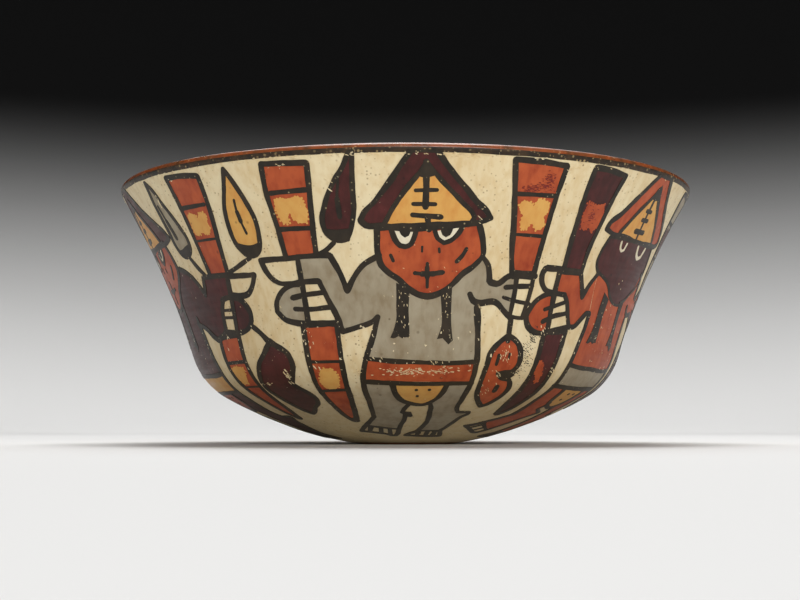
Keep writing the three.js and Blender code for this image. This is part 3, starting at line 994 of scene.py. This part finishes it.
# A short arm on the right, where the next figure stands close, and its staff
SHORT_ARM = [
    (11.7, 31), (13.2, 33.5), (13.7, 36), (14, 38.5), (15.7, 39), (18.2, 36.7), (20, 35.9),
    (20, 48.7), (18.2, 46.8), (16, 44.4), (12, 44.8), (10.8, 44.2), (9.9, 42.3),
]
SHORT_ARM_LINES = [
    (1.7, [(11.7, 31), (13.2, 33.5), (13.7, 36), (14, 38.5), (15.7, 39), (18.2, 36.7), (19.8, 35.9)]),
    (1.7, [(9.9, 42.3), (10.8, 44.2), (12, 44.8), (16, 44.4), (18.2, 46.8), (19.6, 48.5)]),
    (2, [(19, 36.4), (24.6, 36.2)]),
    (1.6, [(20.2, 36), (20.4, 42), (20, 49)]),
    (1.4, [(24.3, 36), (24.2, 42), (23.8, 45.5), (23.4, 48.9)]),
    (1.5, [(18, 39.9), (21, 39.6), (24.4, 39.3)]),
    (1.1, [(17.9, 42.9), (20.5, 43.9), (24.6, 44.7)]),
    (1.1, [(19.7, 48.4), (21.5, 48.9), (23.6, 49)]),
]
SHORT_STAFF = [
    (15, 1.9), (20, 2), (25.3, 2.6), (25, 10), (24.6, 25), (24.2, 35.6), (18.9, 35.6), (18.1, 30),
    (17.1, 20), (15.9, 10),
]
SHORT_STAFF_BANDS = [(1.4, [(16.4, 12), (25, 11.8)]), (1, [(17.8, 24.1), (24.6, 24.2)])]
SHORT_STAFF_MARK = [
    (17.6, 15), (18.3, 13.9), (19.8, 14.3), (20.6, 15.3), (21.2, 13.4), (22.5, 13.2), (23.9, 14.2),
    (24, 16.5), (23.3, 18.3), (23.9, 20.3), (23.4, 22.2), (22.2, 22.4), (21.2, 20.6), (20.5, 20.9),
    (20.3, 22.2), (19.1, 22.5), (18.5, 20.5), (18.8, 18.3), (17.9, 16.8),
]

# The right figure's hat, which the far figures share, and its own face, tunic and leg
WIDE_HAT = [
    (-3.1, 0), (-7.8, 9.3), (-10.5, 14.5), (-13, 18), (-13.3, 19.8), (-11.5, 20.8), (-6, 21.4),
    (0, 22), (7, 21.9), (12.5, 21.3), (14.3, 20.3), (13.5, 18.5), (11.5, 15.6), (6, 8.6), (1.6, 0),
]
WIDE_PANEL = [
    (-1, 5), (-1.2, 5.5), (-5, 13), (-8.4, 20.6), (0, 21.6), (8.3, 21), (5.5, 15.3), (2.5, 10.5),
    (0, 5.5),
]
WIDE_PANEL_EDGES = [
    [(-0.8, 4.5), (-1.2, 5.5), (-5, 13), (-8.6, 20.3)],
    [(-0.4, 4.5), (0, 5.5), (2.5, 10.5), (5.5, 15.3), (8.3, 20.5)],
]
WIDE_FACE = [
    (-11.2, 22), (-12.5, 27), (-12.7, 30.5), (-11.5, 33), (-9, 34.5), (-6, 36.5), (-3, 40.5),
    (0, 42.3), (4, 42.2), (8, 38.5), (12, 34.5), (13, 31), (12, 25), (11, 22),
]
WIDE_TUNIC = [
    (-11, 34), (-9, 34.5), (-6, 36.5), (-3, 40.5), (0, 42.3), (4, 42.2), (8, 38.5), (12, 34.5),
    (13, 36), (12.6, 49), (12.6, 52), (13.2, 60), (13.2, 62.8), (-13.6, 61.8), (-13.2, 60),
    (-12.2, 57), (-11, 52.5), (-10, 46), (-10.6, 38),
]
WIDE_EYES = [
    [(-6.5, 23), (-6.1, 25), (-5.3, 25.8), (-4.4, 25.3), (-4, 23.2)],
    [(1.7, 23.4), (2.6, 26), (3.8, 27), (5.3, 26.3), (6.2, 23.3)],
]
BENT_SIDE = [
    (-9.7, 46.3), (-9.8, 50), (-10.8, 56), (-11.7, 61), (-12.4, 66), (-13, 72), (-13.7, 80),
    (-14, 86), (-14.5, 89),
]
BENT_LEG = [
    (-13, 71), (-13.7, 80), (-14, 86), (-14.5, 89), (-18, 92), (-22, 94.5), (-19, 98.3),
    (-14, 101.5), (-9.5, 99), (-7, 95.5), (-5, 92), (-3, 89.5), (-0.5, 87.3), (-5.5, 84.5),
    (-4.5, 82), (-4, 80.5), (-6, 77), (-7.5, 71),
]
BENT_FOOT = [
    (-14.5, 89), (-18, 92), (-22, 94.5), (-27, 97.5), (-30, 98.5), (-23, 102.3), (-17, 105),
    (-15, 105), (-11.5, 102), (-9.5, 99), (-7, 95.5), (-5, 92), (-3, 89.5), (-0.5, 87.3),
    (-5.5, 84.5), (-4.5, 82), (-4, 80.5),
]
BENT_TOES = [
    [(-21.2, 95.8), (-27.6, 98.9)], [(-20.2, 97.2), (-25.6, 100.3)], [(-17, 100), (-21, 102.8)],
]
BENT_ANKLE = [(-23.5, 95), (-19, 98.5), (-14, 101.5)]

# Feathers, which hang by a stem from a hand, and pouches, which hang by a string
PLAIN_FEATHER = dict(
    outline=[
        (15.6, 2), (15, 10), (15.6, 18), (16.4, 24.5), (17.4, 26.5), (19, 27.4), (20.6, 26.8),
        (21.9, 24.8), (22.1, 22.5), (20.8, 17), (18.4, 9.8), (16.7, 4),
    ],
    stripe=[(16.1, 10), (16.8, 15), (18, 21)],
    foot=[
        (16, 24.8), (18.5, 24.7), (20.2, 24), (22, 23.4), (21.7, 25.3), (20.5, 27), (19, 27.7),
        (17.2, 26.7),
    ],
    stem=[(20.2, 28), (21.5, 30.6), (23.6, 33.8)],
)
OUTER_FEATHER = dict(
    outline=[
        (39.8, 2.8), (38.5, 8), (36.7, 15), (36.3, 20), (36.7, 25), (37.6, 27.6), (39.1, 29.4),
        (41.3, 29.4), (42.5, 27.9), (43.1, 24.8), (43.4, 20), (42.3, 13), (40.8, 6.5),
    ],
    stripe=[(39.8, 12.3), (39.6, 16), (39.8, 19), (40.4, 22.8)],
    foot=[
        (36.6, 25), (38, 25.7), (40.5, 26.4), (43, 25.6), (42.6, 28), (41.2, 29.7), (39, 29.7),
        (37.4, 28),
    ],
    stem=[(39.4, 30.2), (36.5, 31.8), (32.2, 34)],
)
LEFT_FEATHER = dict(
    outline=[
        (-13.7, 0), (-15.3, 5.2), (-16.8, 8.4), (-19.3, 15.7), (-20.3, 21), (-19.8, 24.2),
        (-18.2, 26.2), (-16.9, 26.6), (-15.6, 26.2), (-15.1, 24.7), (-14.1, 19.8), (-13.7, 10),
        (-13.2, 0),
    ],
    stripe=[(-16.2, 8.5), (-16.8, 14), (-16.7, 19.5)],
    foot=[
        (-20.2, 22.8), (-17.8, 23.2), (-15.2, 23), (-15.3, 25.8), (-16.9, 26.8), (-18.4, 26.3),
        (-19.8, 24.6),
    ],
    stem=[(-18.5, 27), (-20.2, 29), (-22, 30.3)],
)
SLIM_POUCH = [
    (20.6, 54.5), (18.6, 56.3), (16.7, 59.4), (16.1, 64), (15.9, 71), (16.6, 75.6), (18.2, 79.4),
    (20, 82), (21, 83.3), (22.6, 82), (24.2, 79.3), (25.2, 75.8), (25, 71.4), (23.8, 69),
    (21.5, 68.3), (19.9, 66.6), (21.5, 66.1), (23.4, 65.8), (24.6, 64.2), (24.9, 60.4),
    (23.9, 57.2), (22.2, 55.4),
]
SLIM_POUCH_NOTCH = [
    (19.7, 66), (22, 66.3), (24.6, 65), (24.8, 67.2), (23.5, 68.8), (21.5, 68.4), (20.3, 67.6),
]
SLIM_POUCH_MARKS = [
    (1.7, [(20.5, 49), (20.6, 53.5), (20.6, 56)]),
    (0.7, [(21.6, 59.8), (21.6, 61.2)]),
    (1, [(18.8, 60.3), (18.6, 63.4)]),
    (1.6, [(21.4, 71.8), (21.4, 74.2)]),
]
BROAD_POUCH = [
    (39.5, 55.5), (36.8, 59.5), (34.2, 62.8), (32.8, 66), (31.7, 69.7), (31.7, 73), (32.7, 77),
    (34.1, 81.5), (36.1, 86), (37.9, 88.3), (40.2, 86.8), (42.4, 84), (45.1, 81.6), (46, 78),
    (45.2, 75), (43.4, 72.5), (42, 70.5), (43.6, 67), (44.8, 63), (44.2, 60), (42.4, 58),
    (40.7, 56.8),
]
BROAD_POUCH_STRING = [(34.7, 50.5), (37, 53), (39.5, 56.4)]


# Drawing a figure

# Where the stretch between chest and hips begins and ends, down from the lip
CHEST = 40
HEM = 60

# How far a shoulder is from the figure's middle, in degrees
SHOULDER = 11
APRON_DOT_RADIUS = 0.55


class Figure:
    """A standing figure: one coat for each slip that its parts are painted in, one for each slip
    of the marks over them, and one for its black lines. Its middle is an azimuth. Below the chest
    it is hips times as wide and a drop lower than drawn."""

    def __init__(self, number, middle, hips, drop, slips):
        self.number = number
        self.middle = middle
        self.hips = hips
        self.drop = drop
        self.slips = slips
        self.washes = {}
        self.marks = {}
        self.lines = Coat(LINE)

    def here(self, points):
        return [(self.middle + azimuth, down) for azimuth, down in points]

    def below_the_chest(self, points):
        """Points drawn wider or narrower, and lower, from the chest down to the hips."""
        shaped = []
        for azimuth, down in points:
            share = max(0, min(1, (down - CHEST) / (HEM - CHEST)))
            shaped.append((azimuth * (1 + (self.hips - 1) * share), down + self.drop * share))
        return shaped

    def paint(self, part, *outlines):
        """Outlines filled in a part's own slip. The part is the solid that they stand for."""
        coat = self.washes.setdefault(self.slips[part], Coat(WASH))
        coat.replaced.add(f"{part}_{self.number}")
        for outline in outlines:
            coat.fill(self.here(outline))

    def mark(self, slip, outline):
        self.marks.setdefault(slip, Coat(OVERPAINT)).fill(self.here(outline))

    def dab(self, slip, outline):
        self.marks.setdefault(slip, Coat(OVERPAINT)).dab(self.here(outline))

    def line(self, points, width=LINE_WIDTH):
        self.lines.stroke(self.here(points), width)

    def edge(self, outline, width=LINE_WIDTH):
        self.lines.stroke(self.here(outline), width, closed=True)

    def blacken(self, outline):
        self.lines.fill(self.here(outline))

    def several(self, lines):
        for width, points in lines:
            self.line(points, width)

    def make(self):
        name = f"figure_{self.number}"
        for slip, coat in self.washes.items():
            coat.make(f"{name}_{slip}", f"{slip}_slip")
        for slip, coat in self.marks.items():
            coat.make(f"{name}_{slip}_marks", f"{slip}_slip")
        self.lines.make(f"{name}_lines", "black_slip")


def reached(points, reach):
    """Points of a limb drawn nearer to or further from the shoulder."""
    shoulder = math.copysign(SHOULDER, points[-1][0])
    return [(shoulder + (azimuth - shoulder) * reach, down) for azimuth, down in points]


def draw_hat(figure):
    figure.paint("hat", HAT)
    figure.mark("yellow", HAT_PANEL)
    figure.edge(HAT)
    figure.blacken(HAT_APEX)
    for panel_edge in HAT_PANEL_EDGES:
        figure.line(panel_edge, 1.5)
    figure.several([
        (1.9, [(-0.6, 3.5), (-0.5, 10), (-0.4, 16.7)]),
        (1.7, [(0, 19.5), (0.4, 23.5)]),
        (1.2, [(-2.3, 12), (1.5, 11.8)]),
        (1.2, [(-2.7, 15.9), (1.4, 15.9)]),
        (1.5, [(-2.8, 19.1), (2.6, 19.7)]),
    ])


def draw_wide_hat(figure):
    figure.paint("hat", WIDE_HAT)
    figure.mark("yellow", WIDE_PANEL)
    figure.edge(WIDE_HAT, 1.8)
    figure.blacken(HAT_APEX)
    for panel_edge in WIDE_PANEL_EDGES:
        figure.line(panel_edge, 1.6)
    figure.several([
        (1.1, [(-0.8, 4), (-0.9, 12), (-1, 21)]),
        (1.4, [(-1.8, 12), (0.2, 12)]),
        (1.5, [(-2, 15), (0.4, 15)]),
        (1.9, [(-2.8, 18.8), (0.9, 18.8)]),
    ])


def draw_face(figure):
    figure.paint("face", FACE)
    figure.edge(FACE)
    for eye, pupil in ((LEFT_EYE, LEFT_PUPIL), (RIGHT_EYE, RIGHT_PUPIL)):
        figure.mark("white", eye)
        figure.line(eye, 1.5)
        figure.blacken(pupil)
    figure.several([
        (0.7, [(-0.8, 28.5), (-0.8, 29.9)]),
        (0.8, [(2.6, 29), (2.7, 30)]),
        (1, [(-7.2, 31), (-6.7, 32.6)]),
        (1.1, [(8.2, 28.9), (7.6, 30.6), (6.3, 32.8)]),
        (1.3, [(-2.1, 36.2), (0.5, 36.6), (3.7, 36)]),
        (1.7, [(-0.6, 36.5), (1.8, 36.5)]),
        (1, [(0.4, 33.4), (0.5, 37), (0.5, 40.4)]),
        (1.4, [(0.4, 34.6), (0.5, 37.6)]),
    ])


def draw_dark_face(figure):
    """A dark face without outlined eyes, whose whites are drawn as loops"""
    figure.paint("face", WIDE_FACE)
    figure.edge(WIDE_FACE, 1)
    eyes = figure.marks.setdefault("white", Coat(OVERPAINT))
    for eye, width in zip(WIDE_EYES, (0.8, 1.1)):
        eyes.stroke(figure.here(eye), width)


def draw_clothes(figure, tunic):
    shaped = figure.below_the_chest
    figure.paint("tunic", shaped(tunic))
    figure.paint("belt", shaped(BELT))
    figure.paint("apron", shaped(APRON))
    figure.line(shaped(RIGHT_SIDE), 1.9)
    for belt_edge, width in zip(BELT_EDGES, (1.5, 1.8)):
        figure.line(shaped(belt_edge), width)
    figure.line(shaped(APRON), 1.9)
    for dot in figure.here(shaped(APRON_DOTS)):
        figure.lines.dot(dot, APRON_DOT_RADIUS)
    figure.blacken(LEFT_LOCK)
    figure.blacken(RIGHT_LOCK)


def draw_left_leg(figure):
    shaped = figure.below_the_chest
    figure.paint("left_leg", shaped(LEFT_LEG))
    figure.line(shaped(LEFT_SIDE))
    figure.blacken(shaped(LEFT_HEEL))
    figure.line(shaped(LEFT_ANKLE), 1.3)
    for points in LEFT_LEG_LINES + LEFT_TOES:
        figure.line(shaped(points), 1.5)


def draw_bent_leg(figure):
    figure.paint("left_leg", BENT_LEG)
    figure.line(BENT_SIDE)
    figure.line(BENT_ANKLE, 1.3)
    figure.line(BENT_FOOT, 1.5)
    for points in BENT_TOES:
        figure.line(points, 0.8)


def draw_right_leg(figure):
    shaped = figure.below_the_chest
    figure.paint("right_leg", shaped(RIGHT_LEG))
    figure.line(shaped(RIGHT_ANKLE), 1.3)
    for points in RIGHT_LEG_LINES + RIGHT_TOES:
        figure.line(shaped(points), 1.5)


def draw_limb(figure, side, limb, reach=1):
    """An arm with its staff. The reach from the shoulder is a share of the one in its outlines."""
    def here(part):
        return reached(limb[part], reach)

    staff = f"{side}_staff"
    figure.paint("tunic", here("arm"), here("palm"))
    figure.paint(staff, here("staff_top"), here("staff_foot"))
    mark_slip = STAFF_MARKS[figure.slips[staff]]
    figure.dab(mark_slip, here("top_mark"))
    figure.dab(mark_slip, here("foot_mark"))
    for stretch in limb["arm_edges"]:
        figure.line(reached(limb["arm"][stretch], reach))
    figure.line(here("thumb"))
    figure.line(here("palm"))
    figure.edge(here("staff_top"))
    figure.edge(here("staff_foot"))
    if "tip" in limb:
        figure.blacken(here("tip"))
    figure.several([(width, reached(points, reach)) for width, points in limb["lines"]])


def draw_short_limb(figure):
    """A short arm on the right with its staff"""
    figure.paint("tunic", SHORT_ARM)
    figure.paint("right_staff", SHORT_STAFF)
    figure.dab(STAFF_MARKS[figure.slips["right_staff"]], SHORT_STAFF_MARK)
    figure.edge(SHORT_STAFF)
    figure.several(SHORT_ARM_LINES + SHORT_STAFF_BANDS)


def draw_feather(figure, part, feather, shift=0):
    """A feather with a dark foot, a stem and a stripe that thickens towards its foot"""
    outline, stripe, foot, stem = (
        [(azimuth + shift, down) for azimuth, down in feather[line]]
        for line in ("outline", "stripe", "foot", "stem")
    )
    figure.paint(part, outline)
    figure.edge(outline, 1.5)
    figure.blacken(foot)
    figure.line(stripe, 0.8)
    figure.line(stripe[1:3], 1.4)
    figure.line(stem, 1.4)


def draw_slim_pouch(figure):
    figure.paint("pouch", SLIM_POUCH)
    figure.edge(SLIM_POUCH)
    figure.blacken(SLIM_POUCH_NOTCH)
    figure.several(SLIM_POUCH_MARKS)


def draw_broad_pouch(figure):
    figure.paint("pouch", BROAD_POUCH)
    figure.edge(BROAD_POUCH)
    figure.line(BROAD_POUCH_STRING, 2)


# The slip of the marks on a staff of each slip
STAFF_MARKS = {"red": "yellow", "maroon": "red", "grey": "maroon"}

# How far the far figures' left arms reach, as a share of the front figure's
FAR_LEFT_REACH = 0.9


def slips_of(legs, **parts):
    """The slip of each part of a figure, whose legs share one"""
    return dict(left_leg=legs, right_leg=legs, **parts)


def front_figure():
    figure = Figure(1, middle=4, hips=1, drop=0, slips=slips_of(
        hat="maroon", face="red", tunic="grey", belt="red", apron="yellow", legs="grey",
        left_staff="red", right_staff="red", pouch="red", feather="maroon",
    ))
    draw_hat(figure)
    draw_face(figure)
    draw_clothes(figure, TUNIC)
    draw_left_leg(figure)
    draw_right_leg(figure)
    draw_limb(figure, "left", LEFT_LIMB)
    draw_short_limb(figure)
    draw_slim_pouch(figure)
    draw_feather(figure, "feather", LEFT_FEATHER)
    return figure


def right_figure():
    figure = Figure(2, middle=58, hips=0.88, drop=1, slips=slips_of(
        hat="red", face="maroon", tunic="red", belt="grey", apron="yellow", legs="red",
        left_staff="maroon", right_staff="grey", pouch="maroon", feather="yellow",
    ))
    draw_wide_hat(figure)
    draw_dark_face(figure)
    draw_clothes(figure, WIDE_TUNIC)
    draw_bent_leg(figure)
    draw_right_leg(figure)
    draw_limb(figure, "left", CLUB_LIMB)
    draw_short_limb(figure)
    draw_slim_pouch(figure)
    draw_feather(figure, "feather", OUTER_FEATHER, shift=-7.4)
    return figure


def far_figure(number, middle, right_reach, hips, drop, slips):
    """A figure with both arms long, whose hat is wide"""
    figure = Figure(number, middle, hips, drop, slips)
    draw_wide_hat(figure)
    draw_face(figure)
    draw_clothes(figure, TUNIC)
    draw_left_leg(figure)
    draw_right_leg(figure)
    draw_limb(figure, "left", LEFT_LIMB, FAR_LEFT_REACH)
    draw_limb(figure, "right", RIGHT_LIMB, right_reach)
    draw_broad_pouch(figure)
    draw_feather(figure, "feather", PLAIN_FEATHER)
    return figure


def left_figure():
    figure = far_figure(5, middle=-74, right_reach=1, hips=1.2, drop=3, slips=slips_of(
        hat="maroon", face="red", tunic="maroon", belt="yellow", apron="red", legs="maroon",
        left_staff="red", right_staff="red", pouch="maroon", feather="grey", outer_feather="yellow",
    ))
    draw_feather(figure, "outer_feather", OUTER_FEATHER)
    return figure


# Worn places, as azimuth, down, spread across, spread down, how many chips, the longest and
# their slope
WORN_PLACES = [
    (-32, 67.5, 0.7, 1.1, 16, 1.3, 60), (-41, 70.3, 1.1, 0.2, 6, 1.3, 0),
    (40.6, 65.2, 0.6, 0.9, 12, 1.3, 40), (-56.4, 8.2, 0.15, 1, 9, 1.1, 75),
    (1, 66, 7, 0.8, 90, 1, 0), (10, 65.6, 3, 0.9, 24, 1, 5), (24.6, 61, 0.9, 1.6, 20, 1, 70),
    (24, 67, 0.7, 0.7, 10, 1, 30), (22.2, 73, 1.2, 2, 12, 1, 50), (-22.6, 64, 0.9, 1, 7, 1, 60),
    (-24.5, 56, 1.6, 3, 12, 1, 85), (-8, 62.1, 2.5, 0.3, 5, 1, 60), (7, 62.8, 2.5, 0.4, 5, 1, 60),
    (14.2, 16, 0.5, 4, 8, 1, 30), (-13.6, 9.5, 0.8, 2, 7, 1, 40), (-23, 3.3, 2.6, 0.5, 6, 1, 10),
    (-49, 3.6, 1.5, 0.5, 4, 1, 20), (30, 3.5, 2.5, 0.8, 7, 1, 10), (11, 1.5, 5, 0.5, 14, 1, 20),
    (-6, 1.2, 9, 0.5, 12, 1, 20), (-1, 47, 0.8, 4, 16, 0.9, 88), (8.8, 47, 0.8, 4, 14, 0.9, 88),
    (17, 45.7, 0.5, 0.5, 3, 1, 60), (34, 52.6, 1.5, 0.9, 9, 1, 60), (58, 45, 9, 9, 16, 0.8, 70),
    (-34, 40, 5, 8, 12, 0.8, 60), (4, 33, 8, 8, 14, 0.6, 40), (-10, 1.2, 50, 0.25, 110, 1.1, 5),
    (130, 1.2, 50, 0.25, 60, 1.1, 5), (-130, 1.2, 50, 0.25, 60, 1.1, 5),
    (134, 45, 25, 18, 40, 0.9, 60), (-150, 45, 25, 18, 40, 0.9, 60),
]

# Places with dark grains and with reddish stains, as azimuth, down, spread across and spread down
GRAINY_PLACES = [
    (31.6, 53.8, 1.1, 1.2), (30.6, 56.2, 1.2, 1.3), (29.9, 59.4, 1.1, 1.5), (30.8, 62.4, 1.2, 1.3),
    (28.9, 65.8, 1.3, 1),
]
STAINED_PLACES = [
    (26.6, 6.8, 0.9, 1.1), (25.4, 9.4, 1.8, 0.8), (23.2, 10.3, 1.2, 0.5), (38.8, 17, 0.9, 1.8),
]

# The specks' seed, least length, least distance down and greatest turn off their slope
WEAR_SEED = 5
SMALLEST_SPECK = 0.35
HIGHEST_SPECK = 0.3
SPECK_TURN = 15

# The rim line's lower edge
RIM_EDGE_DOWN = 0.45
RIM_EDGE_WANDER = 0.2
RIM_EDGE_WAVE = 5
RIM_EDGE_WIDTH = 0.75
RIM_EDGE_STEP = 2


def make_scattered(coat, generator, place, spread, count, longest, slope):
    """Torn specks strewn round a place on the wall"""
    for _ in range(count):
        spot = offset(place, generator.gauss(0, spread[0]), generator.gauss(0, spread[1]))
        turn = slope + generator.uniform(-SPECK_TURN, SPECK_TURN)
        length = generator.uniform(SMALLEST_SPECK, longest)
        coat.chip((spot[0], max(HIGHEST_SPECK, spot[1])), length, turn)


def make_wear():
    generator = random.Random(WEAR_SEED)
    chips = Coat(CHIP)
    for azimuth, down, across, along, count, longest, slope in WORN_PLACES:
        make_scattered(chips, generator, (azimuth, down), (across, along), count, longest, slope)
    chips.make("worn_chips", "cream_slip")
    grains = Coat(WASH)
    for azimuth, down, across, along in GRAINY_PLACES:
        spread = (across, along)
        make_scattered(grains, generator, (azimuth, down), spread, count=28, longest=0.8, slope=30)
    grains.make("dark_grains", "black_slip")
    stains = Coat(STAIN)
    for azimuth, down, across, along in STAINED_PLACES:
        spread = (across, along)
        make_scattered(stains, generator, (azimuth, down), spread, count=60, longest=0.9, slope=0)
    stains.make("red_stains", "stained_slip")


def make_ragged_rim_line():
    """The lower edge of the rim line, which runs unevenly onto the ground"""
    edge = Coat(WASH)
    places = []
    for azimuth in range(-180, 181, RIM_EDGE_STEP):
        wander = RIM_EDGE_WANDER * noise.noise(Vector((azimuth / RIM_EDGE_WAVE, 0, 0)))
        places.append((azimuth, RIM_EDGE_DOWN + wander))
    edge.stroke(places, RIM_EDGE_WIDTH)
    edge.make("rim_line_edge", "worn_black_slip")


def make_painting():
    front_figure().make()
    right_figure().make()
    far_figure(3, middle=134, right_reach=0.93, hips=1, drop=0, slips=slips_of(
        hat="grey", face="red", tunic="maroon", belt="yellow", apron="red", legs="maroon",
        left_staff="red", right_staff="maroon", pouch="red", feather="grey",
    )).make()
    far_figure(4, middle=210, right_reach=0.93, hips=1, drop=0, slips=slips_of(
        hat="maroon", face="yellow", tunic="red", belt="grey", apron="yellow", legs="grey",
        left_staff="maroon", right_staff="red", pouch="maroon", feather="maroon",
    )).make()
    left_figure().make()
    make_ragged_rim_line()
    make_wear()


# Making the bowl

make_clay_body()
make_slip_band("cream_ground", "cream_slip", painted_places(SEEN_STEP), painted_places(HIDDEN_STEP))
rim_line = rim_line_places(LIP_STEP)
make_slip_band("black_rim_line", "worn_black_slip", rim_line, rim_line)
make_red_lining()
make_painting()


# The studio

# The paper's own pale colour, and the near black of the painted shade that darkens it up the wall
# between two heights
PALE_PAPER = (0.8, 0.795, 0.785, 1)
PAINTED_SHADE_PAPER = (0.004, 0.004, 0.004, 1)
PALE_BELOW = -0.03
PAINTED_SHADE_ABOVE = 0.55

# The cove behind and under the bowl, in metres
FLAT_RADIUS = 1.1
BEND_RADIUS = 0.9
WALL_HEIGHT = 2.6
BEND_STEPS = 12
COVE_TURNS = 96

CAMERA_TILT = 4.96


def backdrop_paper_with_painted_shade():
    """Paper that is pale on the floor, with painted shade that darkens it up the wall"""
    material = bpy.data.materials.new("backdrop_paper_with_painted_shade")
    material.use_nodes = True
    tree = material.node_tree
    height = add_node(tree, "ShaderNodeSeparateXYZ", {0: object_place(tree)}).outputs["Z"]
    inputs = {"Value": height, "From Min": PALE_BELOW, "From Max": PAINTED_SHADE_ABOVE}
    graded = add_node(tree, "ShaderNodeMapRange", inputs, interpolation_type="SMOOTHSTEP")
    # Painted shade: the paper goes from pale to near black up the wall
    colour = mixed(tree, graded.outputs["Result"], PALE_PAPER, PAINTED_SHADE_PAPER)
    shader = tree.nodes["Principled BSDF"]
    tree.links.new(colour, shader.inputs["Base Color"])
    shader.inputs["Roughness"].default_value = 0.9
    shader.inputs["Specular IOR Level"].default_value = 0.1
    return material


def make_cove():
    """A flat floor that curves up all round into a wall, turned about the bowl's axis."""
    profile = []
    for step in range(BEND_STEPS + 1):
        angle = 90 * step / BEND_STEPS
        profile.append((FLAT_RADIUS + BEND_RADIUS * sind(angle), BEND_RADIUS * (1 - cosd(angle))))
    profile.append((FLAT_RADIUS + BEND_RADIUS, WALL_HEIGHT))
    vertices = [(0, 0, 0)]
    for radius, z in profile:
        for turn in range(COVE_TURNS):
            angle = 360 * turn / COVE_TURNS
            vertices.append((radius * cosd(angle), radius * sind(angle), z))
    faces = [(0, 1 + turn, 1 + (turn + 1) % COVE_TURNS) for turn in range(COVE_TURNS)]
    for ring in range(len(profile) - 1):
        below = 1 + ring * COVE_TURNS
        above = below + COVE_TURNS
        for turn in range(COVE_TURNS):
            beside = (turn + 1) % COVE_TURNS
            faces.append((below + turn, above + turn, above + beside, below + beside))
    mesh = bpy.data.meshes.new("cove")
    mesh.from_pydata(vertices, [], faces)
    mesh.shade_smooth()
    mesh.materials.append(backdrop_paper_with_painted_shade())
    cove = bpy.data.objects.new("cove", mesh)
    bpy.context.collection.objects.link(cove)


def soft_lamp(name, place, aim, width, height, watts):
    """A lamp with a flat, rectangular face"""
    light = bpy.data.lights.new(name, "AREA")
    light.shape = "RECTANGLE"
    light.size = width
    light.size_y = height
    light.energy = watts
    lamp = bpy.data.objects.new(name, light)
    lamp.location = place
    lamp.rotation_euler = (Vector(aim) - Vector(place)).to_track_quat("-Z", "Y").to_euler()
    bpy.context.collection.objects.link(lamp)


make_cove()
soft_lamp("front_lamp", (0.28, -1.25, 0.36), aim=(0, 0, 0.03), width=0.88, height=0.5, watts=11.8)
soft_lamp("top_lamp", (0, 0.1, 1.1), aim=(0, 0, 0.04), width=0.6, height=0.6, watts=9.5)
soft_lamp("back_lamp", (0, 0.75, 0.95), aim=(0, 0, 0.08), width=0.9, height=0.6, watts=4.5)
soft_lamp("backdrop_lamp", (0, 0.8, 0.7), aim=(0, 2.0, 0.4), width=2.4, height=0.2, watts=10.2)

world = bpy.data.worlds.new("studio")
world.use_nodes = True
world.node_tree.nodes["Background"].inputs["Color"].default_value = (1, 1, 1, 1)
world.node_tree.nodes["Background"].inputs["Strength"].default_value = 0.07
bpy.context.scene.world = world
bpy.context.scene.view_settings.view_transform = "Standard"

lens = bpy.data.cameras.new("camera")
lens.lens = 65.2
lens.sensor_width = 36
lens.clip_start = 0.01
camera = bpy.data.objects.new("camera", lens)
camera.location = (-0.00178, -0.4862, 0.006)
camera.rotation_euler = (math.radians(90 + CAMERA_TILT), 0, 0)
bpy.context.collection.objects.link(camera)
bpy.context.scene.camera = camera
